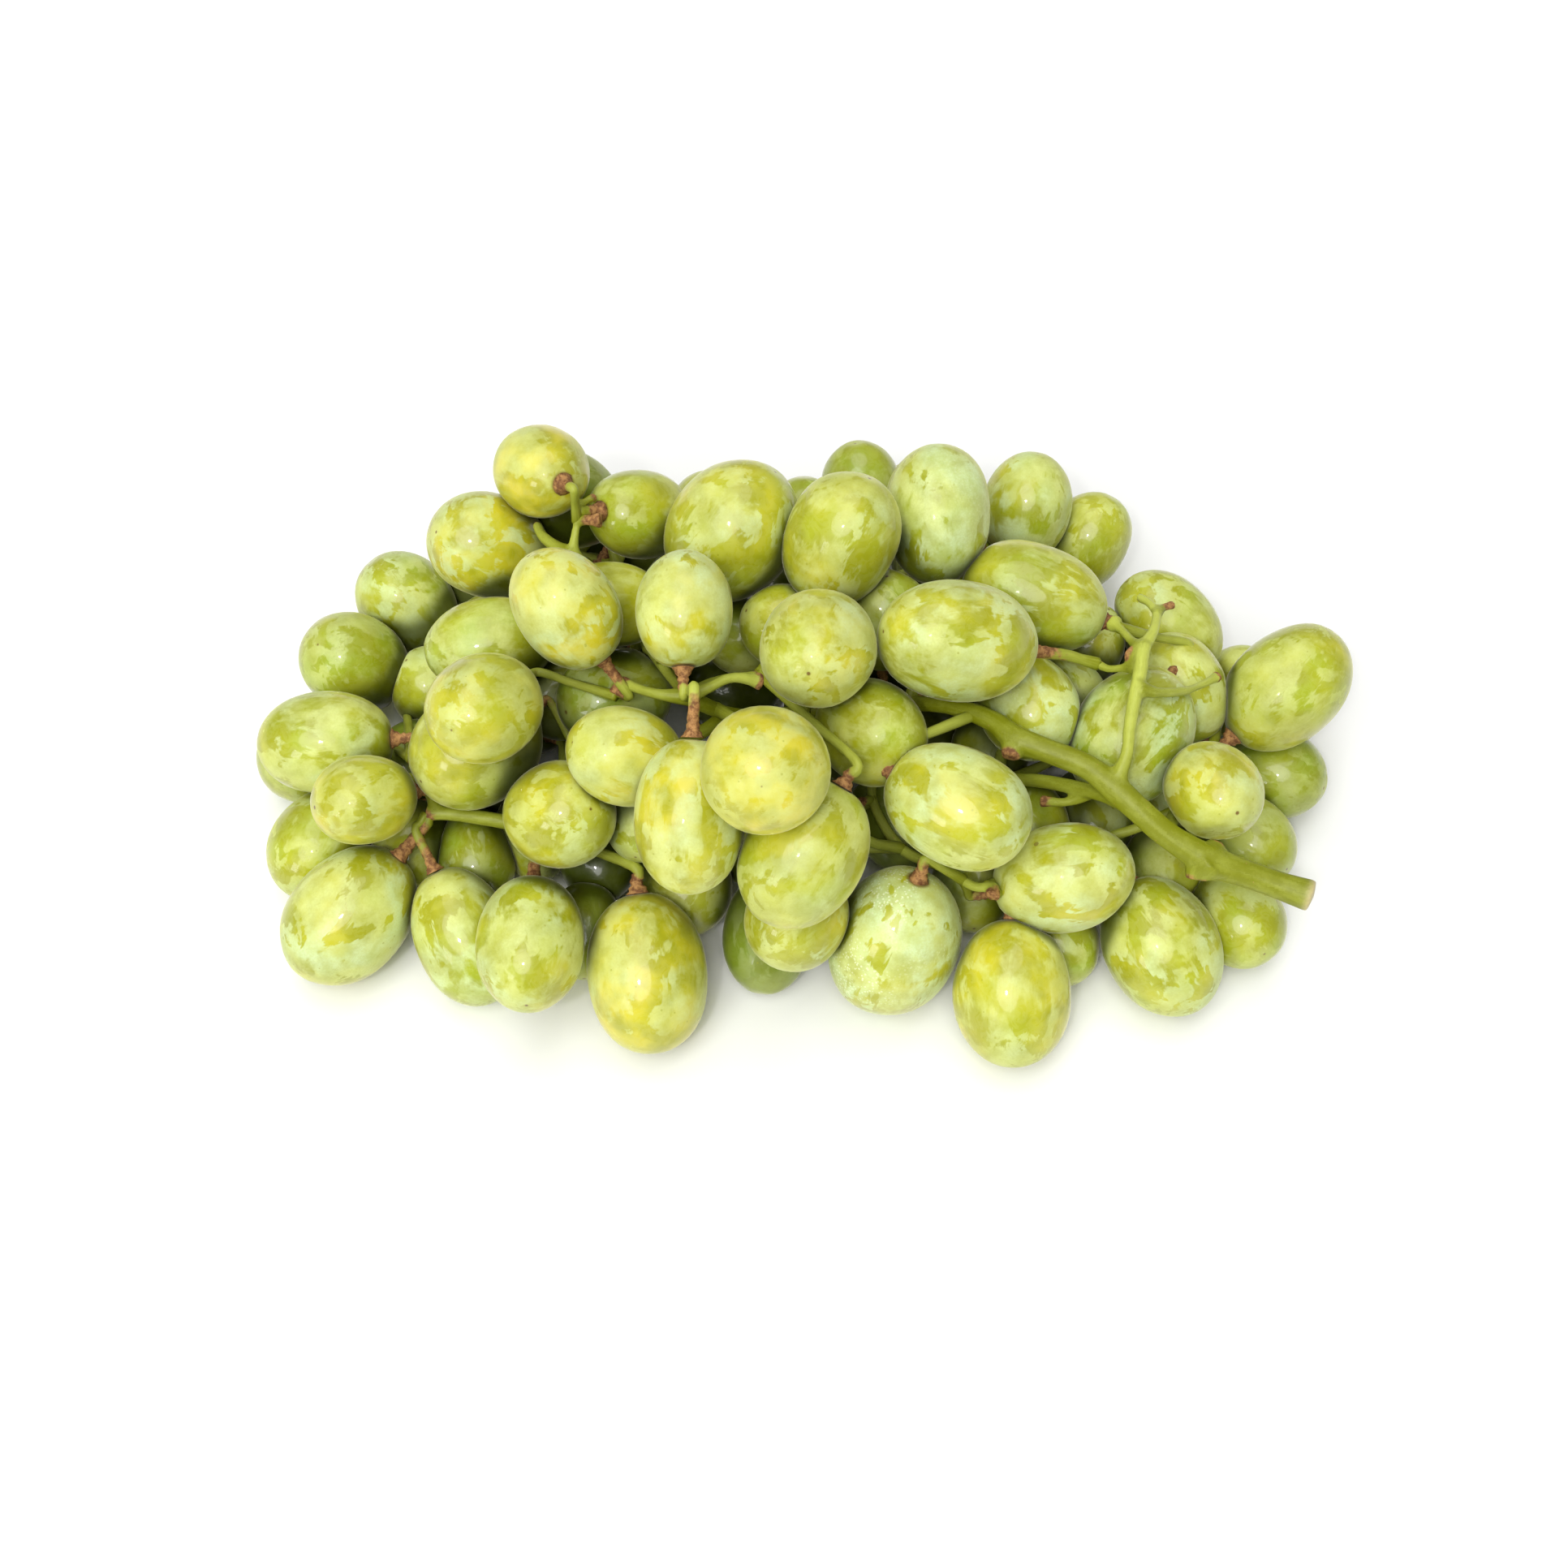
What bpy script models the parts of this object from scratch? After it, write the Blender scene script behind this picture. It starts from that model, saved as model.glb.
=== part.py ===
"""A bunch of large green table grapes, lying on its side as picked.

The berries are faceted and fused spray by spray. The stalk, with its side
branches, pedicels and berry caps, is one body. Metres, +Z up.
"""
import math
import random
from typing import NamedTuple

import bmesh
import bpy
import numpy as np
from mathutils import Vector

MM = 0.001
SEED = 11

# Clearances and rest
NODE_GAP = 0.34 * MM          # air between two bodies of the bunch
PRESS = 0.91                  # berries in contact are this share of their full spacing
REST_SINK = 0.45 * MM         # how far the lowest berries flatten where they rest

# Facets
BERRY_SIDES = 8
BERRY_BANDS = 6
HIDDEN_BANDS = 5
STALK_SIDES = 6
PEDICEL_SIDES = 4

# Stalk sizes
PEDICEL_RADIUS = 1.0 * MM
CAP_RADIUS = 2.2 * MM
CAP_HEIGHT = 1.7 * MM
NECK_RADIUS = 2.2 * MM
NECK_SIDES = 3
NECK_FREE = 0.94           # of two half-widths: closer berries need no neck
PEDICEL_TRIES = 14            # how many places on the stalk a pedicel may start from
PEDICEL_LONGEST = 20.0 * MM
PEDICEL_SQUEEZE = 0.6 * MM    # how far it may press into a berry that it passes

# Mesh making
CLOSE = 1.5 * MM
WELD = 0.002 * MM

# Hidden berries
HIDDEN_STEP = 7.0 * MM        # spacing of the places tried
HIDDEN_SPANS = (250.0 * MM, 170.0 * MM, 70.0 * MM)
HIDDEN_ROOM = 0.88            # least spacing to the others, as a share of touching
HIDDEN_STRAY = 40.0 * MM      # farthest from the stalk
HIDDEN_FAR = 60.0 * MM        # farthest to the back
HIDDEN_WIDE = (18.0, 22.0)    # mm
HIDDEN_STRETCH = (1.2, 1.35)
COVER_SHARE = 0.85

# The line of sight that the readings below belong to: a picture 1932 points
# square, seen from 470 mm away and 57 degrees down.
SIGHT_FOCAL = 2613.0
SIGHT_CENTRE = 966.0
SIGHT_PITCH = math.radians(57.0)
SIGHT_RANGE = 470.0 * MM
LOOK = np.array([0.0, math.cos(SIGHT_PITCH), -math.sin(SIGHT_PITCH)])
ACROSS = np.array([1.0, 0.0, 0.0])
ALOFT = np.cross(ACROSS, LOOK)
EYE = -SIGHT_RANGE * LOOK

SKIN_COLOUR = (0.47, 0.55, 0.12, 1.0)
SKIN_ROUGHNESS = 0.34
STALK_COLOUR = (0.36, 0.39, 0.06, 1.0)
STALK_ROUGHNESS = 0.6


class Reading(NamedTuple):
    """One berry that can be seen: its place, size and turn."""

    column: float     # picture place of its middle
    row: float
    height: float     # mm of its middle above the surface, 0 where it lies on it
    wide: float       # mm across
    long: float       # mm from stem end to tip
    heading: float    # degrees, tip's direction in the picture, 90 is up
    lean: float       # degrees that the tip leans to the eye
    firm: bool        # holds its place; the others give way to it


BERRIES = {
    "l1": Reading(402, 915, 26, 21.5, 28.5, 183, 0, True),
    "l2": Reading(385, 930, 0, 20.5, 25, 200, 45, False),
    "l3": Reading(450, 985, 34, 18, 22, 190, 35, True),
    "l4": Reading(400, 1052, 0, 20.5, 25.5, 240, 10, False),
    "l5": Reading(431, 1127, 0, 24.5, 32, 230, 0, True),
    "l6": Reading(438, 817, 17, 22, 27, 150, 60, True),
    "l7": Reading(503, 745, 22, 21, 26, 130, 20, False),
    "l8": Reading(597, 872, 54, 21.5, 27, 225, 60, True),
    "l9": Reading(587, 920, 32, 24.5, 29, 215, 30, True),
    "l10": Reading(603, 795, 38, 20, 27, 190, 10, True),
    "l11": Reading(602, 672, 44, 22.5, 28, 170, 45, True),
    "l12": Reading(698, 750, 60, 20.5, 26, 125, 20, True),
    "l13": Reading(668, 582, 56, 19.5, 24, 145, -55, True),
    "l14": Reading(757, 745, 46, 17.5, 23, 180, 20, False),
    "l15": Reading(700, 860, 28, 18, 23, 200, 40, False),
    "l16": Reading(765, 850, 36, 20.5, 26, 200, 40, False),
    "l17": Reading(520, 1058, 0, 17, 22, 260, 30, False),
    "l18": Reading(590, 1045, 0, 17, 22, 280, 30, False),
    "l19": Reading(650, 1040, 0, 17, 22, 280, 30, False),
    "l21": Reading(520, 852, 0, 19, 24, 130, 40, False),
    "l22": Reading(508, 938, 0, 18, 23, 250, 40, False),
    "m1": Reading(788, 634, 46, 19.2, 25, 5, -50, True),
    "m2": Reading(843, 752, 64, 19, 24, 90, -10, True),
    "m3": Reading(902, 655, 54, 26.5, 31.5, 52, 20, True),
    "m4": Reading(1035, 666, 60, 22.5, 29, 64, 25, True),
    "m5": Reading(1155, 635, 54, 22, 30, 90, 0, True),
    "m6": Reading(1062, 605, 38, 18, 23, 100, 30, False),
    "m7": Reading(990, 648, 36, 17.5, 22, 90, 20, False),
    "m8": Reading(1008, 799, 64, 22.5, 28, 250, 65, True),
    "m9": Reading(975, 775, 42, 18, 23, 160, 30, False),
    "m10": Reading(1090, 765, 42, 18.5, 23, 90, 40, False),
    "m11": Reading(1072, 902, 48, 21, 26, 330, 50, True),
    "m12": Reading(943, 948, 56, 24, 25.5, 260, 75, True),
    "m13": Reading(850, 1004, 44, 22, 30.5, 268, 0, True),
    "m14": Reading(770, 932, 48, 19.5, 25, 165, 35, True),
    "m15": Reading(688, 1004, 38, 21.5, 27, 10, 55, True),
    "m16": Reading(990, 1052, 36, 23.5, 30.5, 240, 0, True),
    "m17": Reading(982, 1131, 18, 20.5, 22, 230, 10, True),
    "m18": Reading(946, 1152, 0, 18, 25, 265, 10, False),
    "m19": Reading(843, 1080, 16, 20, 27, 280, 40, False),
    "m20": Reading(1103, 1158, 0, 27, 33, 252, -34, True),
    "m21": Reading(1180, 993, 44, 23, 30, 332, 10, True),
    "m22": Reading(1102, 1012, 20, 18, 23, 300, 20, False),
    "m23": Reading(1180, 790, 60, 24, 34.5, 175, 28, True),
    "m24": Reading(573, 1153, 0, 20.5, 30, 295, 0, True),
    "m25": Reading(653, 1162, 16, 21.5, 29.5, 272, 38, True),
    "m26": Reading(797, 1198, 0, 24.5, 33, 277, 5, True),
    "m27": Reading(736, 1148, 0, 16, 21, 270, 20, False),
    "m28": Reading(795, 1000, 24, 17, 22, 260, 30, False),
    "m29": Reading(925, 780, 34, 17, 22, 200, 30, False),
    "m30": Reading(728, 1062, 0, 17, 22, 270, 30, False),
    "m31": Reading(905, 848, 0, 18, 23, 200, 30, False),
    "r1": Reading(1310, 1082, 30, 22.5, 29, 12, 15, True),
    "r2": Reading(1247, 1222, 0, 23.5, 30.5, 270, 0, True),
    "r3": Reading(1290, 1170, 0, 17, 22, 290, 20, False),
    "r4": Reading(1431, 1165, 0, 23.5, 30, 297, 5, True),
    "r5": Reading(1506, 1122, 0, 19, 24, 300, 45, False),
    "r6": Reading(1440, 1085, 0, 17, 22, 280, 30, False),
    "r7": Reading(1530, 1035, 0, 19, 25, 320, 35, False),
    "r8": Reading(1493, 976, 36, 19, 24, 300, 65, True),
    "r9": Reading(1565, 950, 0, 20, 25, 340, 30, False),
    "r10": Reading(1585, 848, 26, 23.5, 31, 42, 0, True),
    "r11": Reading(1520, 850, 0, 17, 22, 60, 30, False),
    "r12": Reading(1396, 905, 30, 25, 31, 235, 20, True),
    "r13": Reading(1452, 845, 18, 19, 25, 120, 10, False),
    "r14": Reading(1435, 780, 20, 20.5, 27, 135, 10, False),
    "r15": Reading(1312, 858, 22, 17, 22, 300, 30, False),
    "r16": Reading(1265, 868, 36, 20.5, 26, 300, 40, True),
    "r17": Reading(1222, 920, 22, 17, 22, 250, 30, False),
    "r18": Reading(1275, 735, 46, 21.5, 31.5, 160, 0, True),
    "r19": Reading(1350, 1003, 0, 18, 23, 280, 30, False),
    "r20": Reading(1262, 1020, 16, 18, 23, 280, 30, False),
    "r21": Reading(1415, 1010, 0, 17, 22, 300, 30, False),
    "r23": Reading(1200, 1085, 0, 17, 22, 270, 30, False),
    "r24": Reading(1265, 625, 30, 20, 25, 80, 20, False),
    "r25": Reading(1338, 668, 20, 19, 24, 60, 20, False),
    "r26": Reading(1335, 800, 22, 17, 22, 60, 30, False),
    "r27": Reading(1378, 815, 0, 17, 22, 60, 30, False),
}

# Stalk and side branches: picture place, height in mm, thickness in mm
BRANCHES = {
    "main": [(1616, 1104, 33, 5.9), (1580, 1092, 33, 5.6), (1540, 1078, 34, 5.6), (1490, 1060, 36, 6.4),
             (1440, 1030, 39, 5.2), (1400, 995, 42, 5.2), (1372, 970, 43, 5.9), (1340, 945, 45, 5.0),
             (1290, 925, 46, 4.8), (1250, 910, 46, 5.6), (1225, 890, 46, 4.4), (1190, 875, 45, 3.8),
             (1150, 868, 42, 3.2), (1060, 868, 34, 3.0), (960, 880, 32, 3.0), (900, 880, 38, 3.0),
             (845, 858, 50, 3.6)],
    "knuckle_up": [(1490, 1060, 36, 4.8), (1498, 1044, 35, 4.0)],
    "knuckle_low": [(1492, 1060, 36, 6.0), (1477, 1074, 34, 5.2), (1474, 1084, 33, 4.2)],
    "knuckle_down": [(1250, 910, 46, 4.2), (1245, 934, 45, 3.2)],
    "rise": [(1372, 970, 43, 3.4), (1388, 930, 48, 2.7), (1392, 895, 50, 2.7), (1398, 860, 51, 3.0),
             (1405, 828, 52, 3.0), (1409, 800, 52, 3.0), (1421, 778, 51, 2.3), (1425, 757, 49, 2.0),
             (1416, 743, 47, 1.9), (1403, 736, 45, 1.9)],
    "rise_right": [(1402, 848, 52, 2.4), (1425, 853, 50, 2.2), (1455, 852, 46, 2.1), (1475, 846, 42, 1.7),
                   (1500, 834, 38, 2.0)],
    "rise_left": [(1409, 800, 52, 2.4), (1395, 790, 50, 1.9), (1382, 776, 48, 1.8), (1372, 768, 46, 2.8)],
    "rise_tip": [(1425, 757, 49, 1.7), (1433, 749, 48, 1.5), (1446, 745, 47, 1.7)],
    "rise_low": [(1403, 824, 51, 2.2), (1385, 823, 48, 1.8), (1366, 824, 46, 1.7), (1352, 818, 45, 1.9)],
    "rise_knob": [(1404, 811, 51, 2.0), (1391, 805, 50, 2.3)],
    "under": [(1385, 985, 41, 3.2), (1340, 974, 37, 3.2), (1280, 962, 32, 3.0), (1230, 960, 28, 2.6)],
    "under_twig": [(1345, 976, 36, 2.0), (1318, 988, 34, 1.8), (1282, 987, 32, 2.2)],
    "right_low": [(1440, 1030, 38, 2.8), (1452, 985, 22, 2.4), (1480, 940, 18, 2.3), (1500, 918, 24, 2.2)],
    "wye_right": [(845, 858, 50, 2.6), (872, 848, 52, 2.3), (902, 835, 52, 2.2), (938, 840, 49, 2.6)],
    "wye_strand": [(845, 858, 50, 2.0), (880, 838, 51, 1.6), (936, 830, 49, 1.6)],
    "wye_left": [(845, 858, 50, 2.6), (815, 856, 50, 2.4), (790, 850, 49, 2.2), (766, 840, 47, 2.4)],
    "wye_stub": [(768, 842, 47, 2.2), (760, 858, 46, 2.6)],
    "back": [(845, 858, 50, 2.2), (800, 800, 38, 2.2), (750, 725, 40, 2.2), (710, 682, 50, 2.2),
             (710, 650, 54, 1.8), (712, 624, 56, 1.7)],
    "back_left": [(706, 684, 50, 2.8), (687, 675, 49, 2.8), (669, 661, 48.5, 2.4), (661, 646, 48, 2.0)],
    "back_spur": [(712, 627, 56, 1.5), (720, 619, 56, 1.3), (734, 611, 56, 1.5)],
    "left": [(900, 880, 38, 3.0), (820, 930, 26, 3.0), (740, 980, 20, 3.0), (667, 1020, 20, 3.2),
             (620, 1012, 24, 3.2), (560, 1003, 24, 3.0), (525, 1003, 24, 2.6)],
    "left_up": [(540, 1000, 24, 2.2), (520, 960, 26, 2.0), (507, 935, 27, 1.9)],
    "front": [(1060, 868, 34, 2.6), (1080, 930, 24, 2.4), (1075, 985, 22, 2.2), (1110, 1045, 20, 2.4),
              (1160, 1068, 24, 2.4), (1200, 1092, 26, 2.2), (1224, 1092, 28, 2.2), (1222, 1106, 28, 2.4)],
    "far": [(1060, 868, 34, 2.6), (1060, 800, 28, 2.4), (1090, 720, 30, 2.4), (1180, 690, 28, 2.2),
            (1212, 674, 27, 2.0)],
    "far_low": [(1060, 800, 28, 2.2), (1020, 740, 22, 2.0), (980, 670, 18, 2.0)],
    "back_low": [(800, 800, 38, 2.2), (770, 720, 24, 2.0), (740, 650, 22, 2.0)],
}

# Middles of the sprays: picture place and height in mm
SPRAYS = {
    "spray_left_low": (450, 1060, 15),
    "spray_left": (480, 850, 25),
    "spray_front_left": (700, 1110, 15),
    "spray_back_left": (690, 700, 45),
    "spray_front_middle": (950, 1060, 30),
    "spray_back_middle": (1030, 700, 45),
    "spray_front_right": (1290, 1130, 15),
    "spray_right": (1500, 960, 20),
    "spray_back_right": (1270, 760, 40),
}


def sight(column, row):
    """Direction of the line of sight through a place of the picture."""
    way = LOOK + ACROSS * (column - SIGHT_CENTRE) / SIGHT_FOCAL
    way = way - ALOFT * (row - SIGHT_CENTRE) / SIGHT_FOCAL
    return way / np.linalg.norm(way)


def spot(column, row, height):
    """Point at a height in metres that is seen at a place of the picture."""
    way = sight(column, row)
    return EYE + way * (height - EYE[2]) / way[2]


def seen(points):
    """Picture places of points."""
    off = np.asarray(points) - EYE
    depth = off @ LOOK
    column = SIGHT_CENTRE + SIGHT_FOCAL * (off @ ACROSS) / depth
    row = SIGHT_CENTRE - SIGHT_FOCAL * (off @ ALOFT) / depth
    return np.stack([column, row], axis=-1), depth


def tip_direction(heading, lean):
    """Unit vector from a berry's stem end to its tip."""
    turn, tilt = math.radians(heading), math.radians(lean)
    flat = math.cos(turn) * ACROSS + math.sin(turn) * ALOFT
    return math.cos(tilt) * flat - math.sin(tilt) * LOOK


def reach(axis, wide, long, way):
    """Half-width of egg-shaped berries along a unit direction."""
    lined = np.sum(axis * way, axis=-1)
    return 0.5 * np.sqrt(wide ** 2 * (1 - lined ** 2) + long ** 2 * lined ** 2)


class Heap:
    """All berries of the bunch, settled against each other and the stalk."""

    def __init__(self):
        self.names = []
        self.centre = np.zeros((0, 3))
        self.axis = np.zeros((0, 3))
        self.wide = np.zeros(0)
        self.long = np.zeros(0)
        self.give = np.zeros(0)
        self.grounded = np.zeros(0, bool)
        self.home = np.zeros((0, 3))
        self.rods = branch_rods()

    def add(self, name, centre, axis, wide, long, give, grounded):
        self.names.append(name)
        self.centre = np.vstack([self.centre, centre])
        self.home = np.vstack([self.home, centre])
        self.axis = np.vstack([self.axis, axis])
        self.wide = np.append(self.wide, wide)
        self.long = np.append(self.long, long)
        self.give = np.append(self.give, give)
        self.grounded = np.append(self.grounded, grounded)

    def add_seen(self):
        """Places the berries that were read from the picture."""
        for name, berry in BERRIES.items():
            axis = tip_direction(berry.heading, berry.lean)
            wide, long = berry.wide * MM, berry.long * MM
            height = berry.height * MM
            if berry.height == 0:
                height = float(reach(axis, wide, long, np.array([0, 0, 1.0])))
            centre = spot(berry.column, berry.row, height)
            give = 0.12 if berry.firm else 1.0
            self.add(name, centre, axis, wide, long, give, berry.height == 0)

    def covered(self, point, radius):
        """Share of a ball's outline that nearer berries hide."""
        place, depth = seen(point)
        size = SIGHT_FOCAL * radius / depth
        turns = np.linspace(0, 2 * math.pi, 16, endpoint=False)
        ring = place + size * np.stack([np.cos(turns), np.sin(turns)], axis=-1)
        places, depths = seen(self.centre)
        sizes = SIGHT_FOCAL * 0.5 * self.wide / depths
        near = depths < depth - 0.3 * radius
        apart = np.linalg.norm(ring[:, None] - places[None], axis=2)
        return np.mean(np.any((apart < sizes[None]) & near[None], axis=1))

    def add_hidden(self, draw):
        """Fills the inside and the far side with berries out of sight."""
        steps = [int(span / HIDDEN_STEP) for span in HIDDEN_SPANS]
        places = [(i, j, k) for k in range(steps[2]) for j in range(steps[1]) for i in range(steps[0])]
        count = 0
        for place in places:
            shake = np.array([draw.uniform(-0.3, 0.3) for _ in range(3)])
            wide = draw.uniform(*HIDDEN_WIDE) * MM
            long = wide * draw.uniform(*HIDDEN_STRETCH)
            point = (np.array(place) + shake) * HIDDEN_STEP
            point += np.array([-0.5 * HIDDEN_SPANS[0], -0.4 * HIDDEN_SPANS[1], 0.55 * wide])
            point[2] = max(point[2], 0.55 * wide)
            apart = np.linalg.norm(self.centre - point, axis=1)
            if point[1] > HIDDEN_FAR or np.any(apart < HIDDEN_ROOM * 0.5 * (self.wide + wide)):
                continue
            foot, thick = self.nearest_rod(point)
            off = np.linalg.norm(point - foot)
            if off < 0.42 * wide + thick or off > HIDDEN_STRAY:
                continue
            if self.covered(point, 0.5 * wide) < COVER_SHARE:
                continue
            count += 1
            self.add(f"h{count}", point, (point - foot) / off, wide, long, 1.6, point[2] < 0.7 * wide)

    def nearest_rod(self, point):
        """Closest point on the stalk's middle line, and its thickness."""
        start, end, radius = self.rods
        along = end - start
        share = np.sum((point - start) * along, axis=1) / np.sum(along ** 2, axis=1)
        foot = start + np.clip(share, 0, 1)[:, None] * along
        best = int(np.argmin(np.linalg.norm(point - foot, axis=1) - radius))
        return foot[best], radius[best]

    def pairs(self):
        """Pairs of berries with their direction and their overlap."""
        first, second = np.triu_indices(len(self.centre), 1)
        way = self.centre[second] - self.centre[first]
        apart = np.linalg.norm(way, axis=1)
        way = way / apart[:, None]
        both = reach(self.axis[first], self.wide[first], self.long[first], way)
        both = both + reach(self.axis[second], self.wide[second], self.long[second], way)
        return first, second, way, PRESS * both - apart

    def rod_pushes(self):
        """How far each berry has to move off the stalk."""
        start, end, radius = self.rods
        move = np.zeros_like(self.centre)
        along = end - start
        length = np.sum(along ** 2, axis=1)
        for k, point in enumerate(self.centre):
            share = np.clip(np.sum((point - start) * along, axis=1) / length, 0, 1)
            way = point - (start + share[:, None] * along)
            apart = np.linalg.norm(way, axis=1)
            way = way / apart[:, None]
            need = reach(self.axis[k], self.wide[k], self.long[k], way) + radius + NODE_GAP - apart
            worst = int(np.argmax(need))
            if need[worst] > 0:
                move[k] = way[worst] * need[worst]
        return move

    def settle(self, rounds):
        """Moves berries apart, the seen ones along their lines of sight."""
        hidden = np.array([name.startswith("h") for name in self.names])
        sights = self.home - EYE
        sights = sights / np.linalg.norm(sights, axis=1)[:, None]
        up = np.array([0, 0, 1.0])
        low = reach(self.axis, self.wide, self.long, up) - REST_SINK
        keep = np.where(hidden, 1.0, np.where(self.give < 1, 0.45, 0.85))[:, None]
        for _ in range(rounds):
            first, second, way, lap = self.pairs()
            hit = lap > 0
            first, second, way, lap = first[hit], second[hit], way[hit], lap[hit]
            part = self.give[first] / (self.give[first] + self.give[second])
            move = np.zeros_like(self.centre)
            np.add.at(move, first, -(part * lap)[:, None] * way)
            np.add.at(move, second, ((1 - part) * lap)[:, None] * way)
            self.centre = self.centre + 0.5 * move + 0.5 * self.rod_pushes()
            off = self.centre - self.home
            along = np.sum(off * sights, axis=1)[:, None] * sights
            aside = (off - along) * keep
            self.centre = self.home + along + aside
            sag = np.where(self.grounded, 0.3 * (self.centre[:, 2] - low), 0)
            self.centre[:, 2] = np.maximum(self.centre[:, 2] - sag, low)


def branch_rods():
    """Straight stretches of the stalk: starts, ends and radii."""
    start, end, radius = [], [], []
    for path in BRANCHES.values():
        for one, two in zip(path, path[1:]):
            start.append(spot(one[0], one[1], one[2] * MM))
            end.append(spot(two[0], two[1], two[2] * MM))
            radius.append(0.25 * (one[3] + two[3]) * MM)
    return np.array(start), np.array(end), np.array(radius)


def share_out(heap):
    """Gives every berry to a spray, growing each spray from touch to touch."""
    names = list(SPRAYS)
    middles = [spot(column, row, height * MM) for column, row, height in SPRAYS.values()]
    first, second, _, lap = heap.pairs()
    berries = len(heap.names)
    air = np.full((berries, berries), np.inf)
    air[first, second] = -lap
    air[second, first] = -lap
    spray = np.full(berries, -1)
    links = []
    for index, middle in enumerate(middles):
        away = np.linalg.norm(heap.centre - middle, axis=1)
        away[spray >= 0] = np.inf
        spray[int(np.argmin(away))] = index
    while np.any(spray < 0):
        inside, outside = np.flatnonzero(spray >= 0), np.flatnonzero(spray < 0)
        cost = np.clip(air[np.ix_(inside, outside)], 0, None) * 12
        for place, berry in enumerate(inside):
            away = np.linalg.norm(heap.centre[outside] - middles[spray[berry]], axis=1)
            cost[place] += away
        one, two = np.unravel_index(int(np.argmin(cost)), cost.shape)
        spray[outside[two]] = spray[inside[one]]
        links.append((int(inside[one]), int(outside[two])))
    return names, spray, links


def berry_mesh(mesh, heap, index):
    """Adds one egg-shaped berry, pole to pole along its axis."""
    turn = Vector(heap.axis[index]).to_track_quat("Z", "Y").to_matrix()
    middle = Vector(heap.centre[index])
    half_wide, half_long = 0.5 * heap.wide[index], 0.5 * heap.long[index]
    bands = HIDDEN_BANDS if heap.names[index].startswith("h") else BERRY_BANDS
    swell = 1 / math.cos(0.5 * math.pi / bands) ** 0.5
    rings = []
    for band in range(1, bands):
        angle = math.pi * band / bands
        radius = half_wide * math.sin(angle) * swell
        level = -half_long * math.cos(angle)
        ring = []
        for side in range(BERRY_SIDES):
            around = 2 * math.pi * (side + 0.5 * (band % 2)) / BERRY_SIDES
            local = Vector((radius * math.cos(around), radius * math.sin(around), level))
            ring.append(mesh.verts.new(middle + turn @ local))
        rings.append(ring)
    ends = [mesh.verts.new(middle + turn @ Vector((0, 0, level))) for level in (-half_long, half_long)]
    for low, high in zip(rings, rings[1:]):
        shifted = rings.index(low) % 2 == 0
        for side in range(BERRY_SIDES):
            nxt = (side + 1) % BERRY_SIDES
            if shifted:
                mesh.faces.new((low[side], low[nxt], high[nxt]))
                mesh.faces.new((low[side], high[nxt], high[side]))
            else:
                mesh.faces.new((low[side], low[nxt], high[side]))
                mesh.faces.new((low[nxt], high[nxt], high[side]))
    for side in range(BERRY_SIDES):
        nxt = (side + 1) % BERRY_SIDES
        mesh.faces.new((ends[0], rings[0][nxt], rings[0][side]))
        mesh.faces.new((ends[1], rings[-1][side], rings[-1][nxt]))
    return [vert for ring in rings for vert in ring] + ends


def berry_planes(heap, spray, index, rods):
    """Planes that part a berry from the other sprays and from the stalk."""
    planes = []
    for other in range(len(heap.names)):
        if spray[other] == spray[index]:
            continue
        way = heap.centre[other] - heap.centre[index]
        apart = np.linalg.norm(way)
        way = way / apart
        own = reach(heap.axis[index], heap.wide[index], heap.long[index], way)
        its = reach(heap.axis[other], heap.wide[other], heap.long[other], way)
        if own + its + CLOSE > apart:
            planes.append((way, float(apart * own / (own + its)) - 0.5 * NODE_GAP))
    start, end, radius = rods
    along = end - start
    share = np.sum((heap.centre[index] - start) * along, axis=1) / np.sum(along ** 2, axis=1)
    way = start + np.clip(share, 0, 1)[:, None] * along - heap.centre[index]
    apart = np.linalg.norm(way, axis=1)
    for rod in np.flatnonzero(apart < 0.6 * heap.long[index] + CLOSE + radius):
        planes.append((way[rod] / apart[rod], float(apart[rod] - radius[rod]) - NODE_GAP))
    return planes


def berry_body(heap, spray, index, rods):
    """One berry as its own mesh, pressed flat where it meets other bodies."""
    body = bmesh.new()
    berry_mesh(body, heap, index)
    middle = Vector(heap.centre[index])
    for way, limit in berry_planes(heap, spray, index, rods):
        way = Vector(way)
        for vert in body.verts:
            over = (vert.co - middle).dot(way) - limit
            if over > 0:
                vert.co -= over * way
    if min(vert.co.z for vert in body.verts) < 0:
        bmesh.ops.bisect_plane(body, geom=body.verts[:] + body.edges[:] + body.faces[:], dist=WELD,
                               plane_co=(0, 0, 0), plane_no=(0, 0, -1), clear_outer=True)
        rim = [edge for edge in body.edges if edge.is_boundary]
        if rim:
            bmesh.ops.edgeloop_fill(body, edges=rim)
        for vert in body.verts:
            if vert.co.z < WELD:
                vert.co.z = 0
    return body


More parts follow.
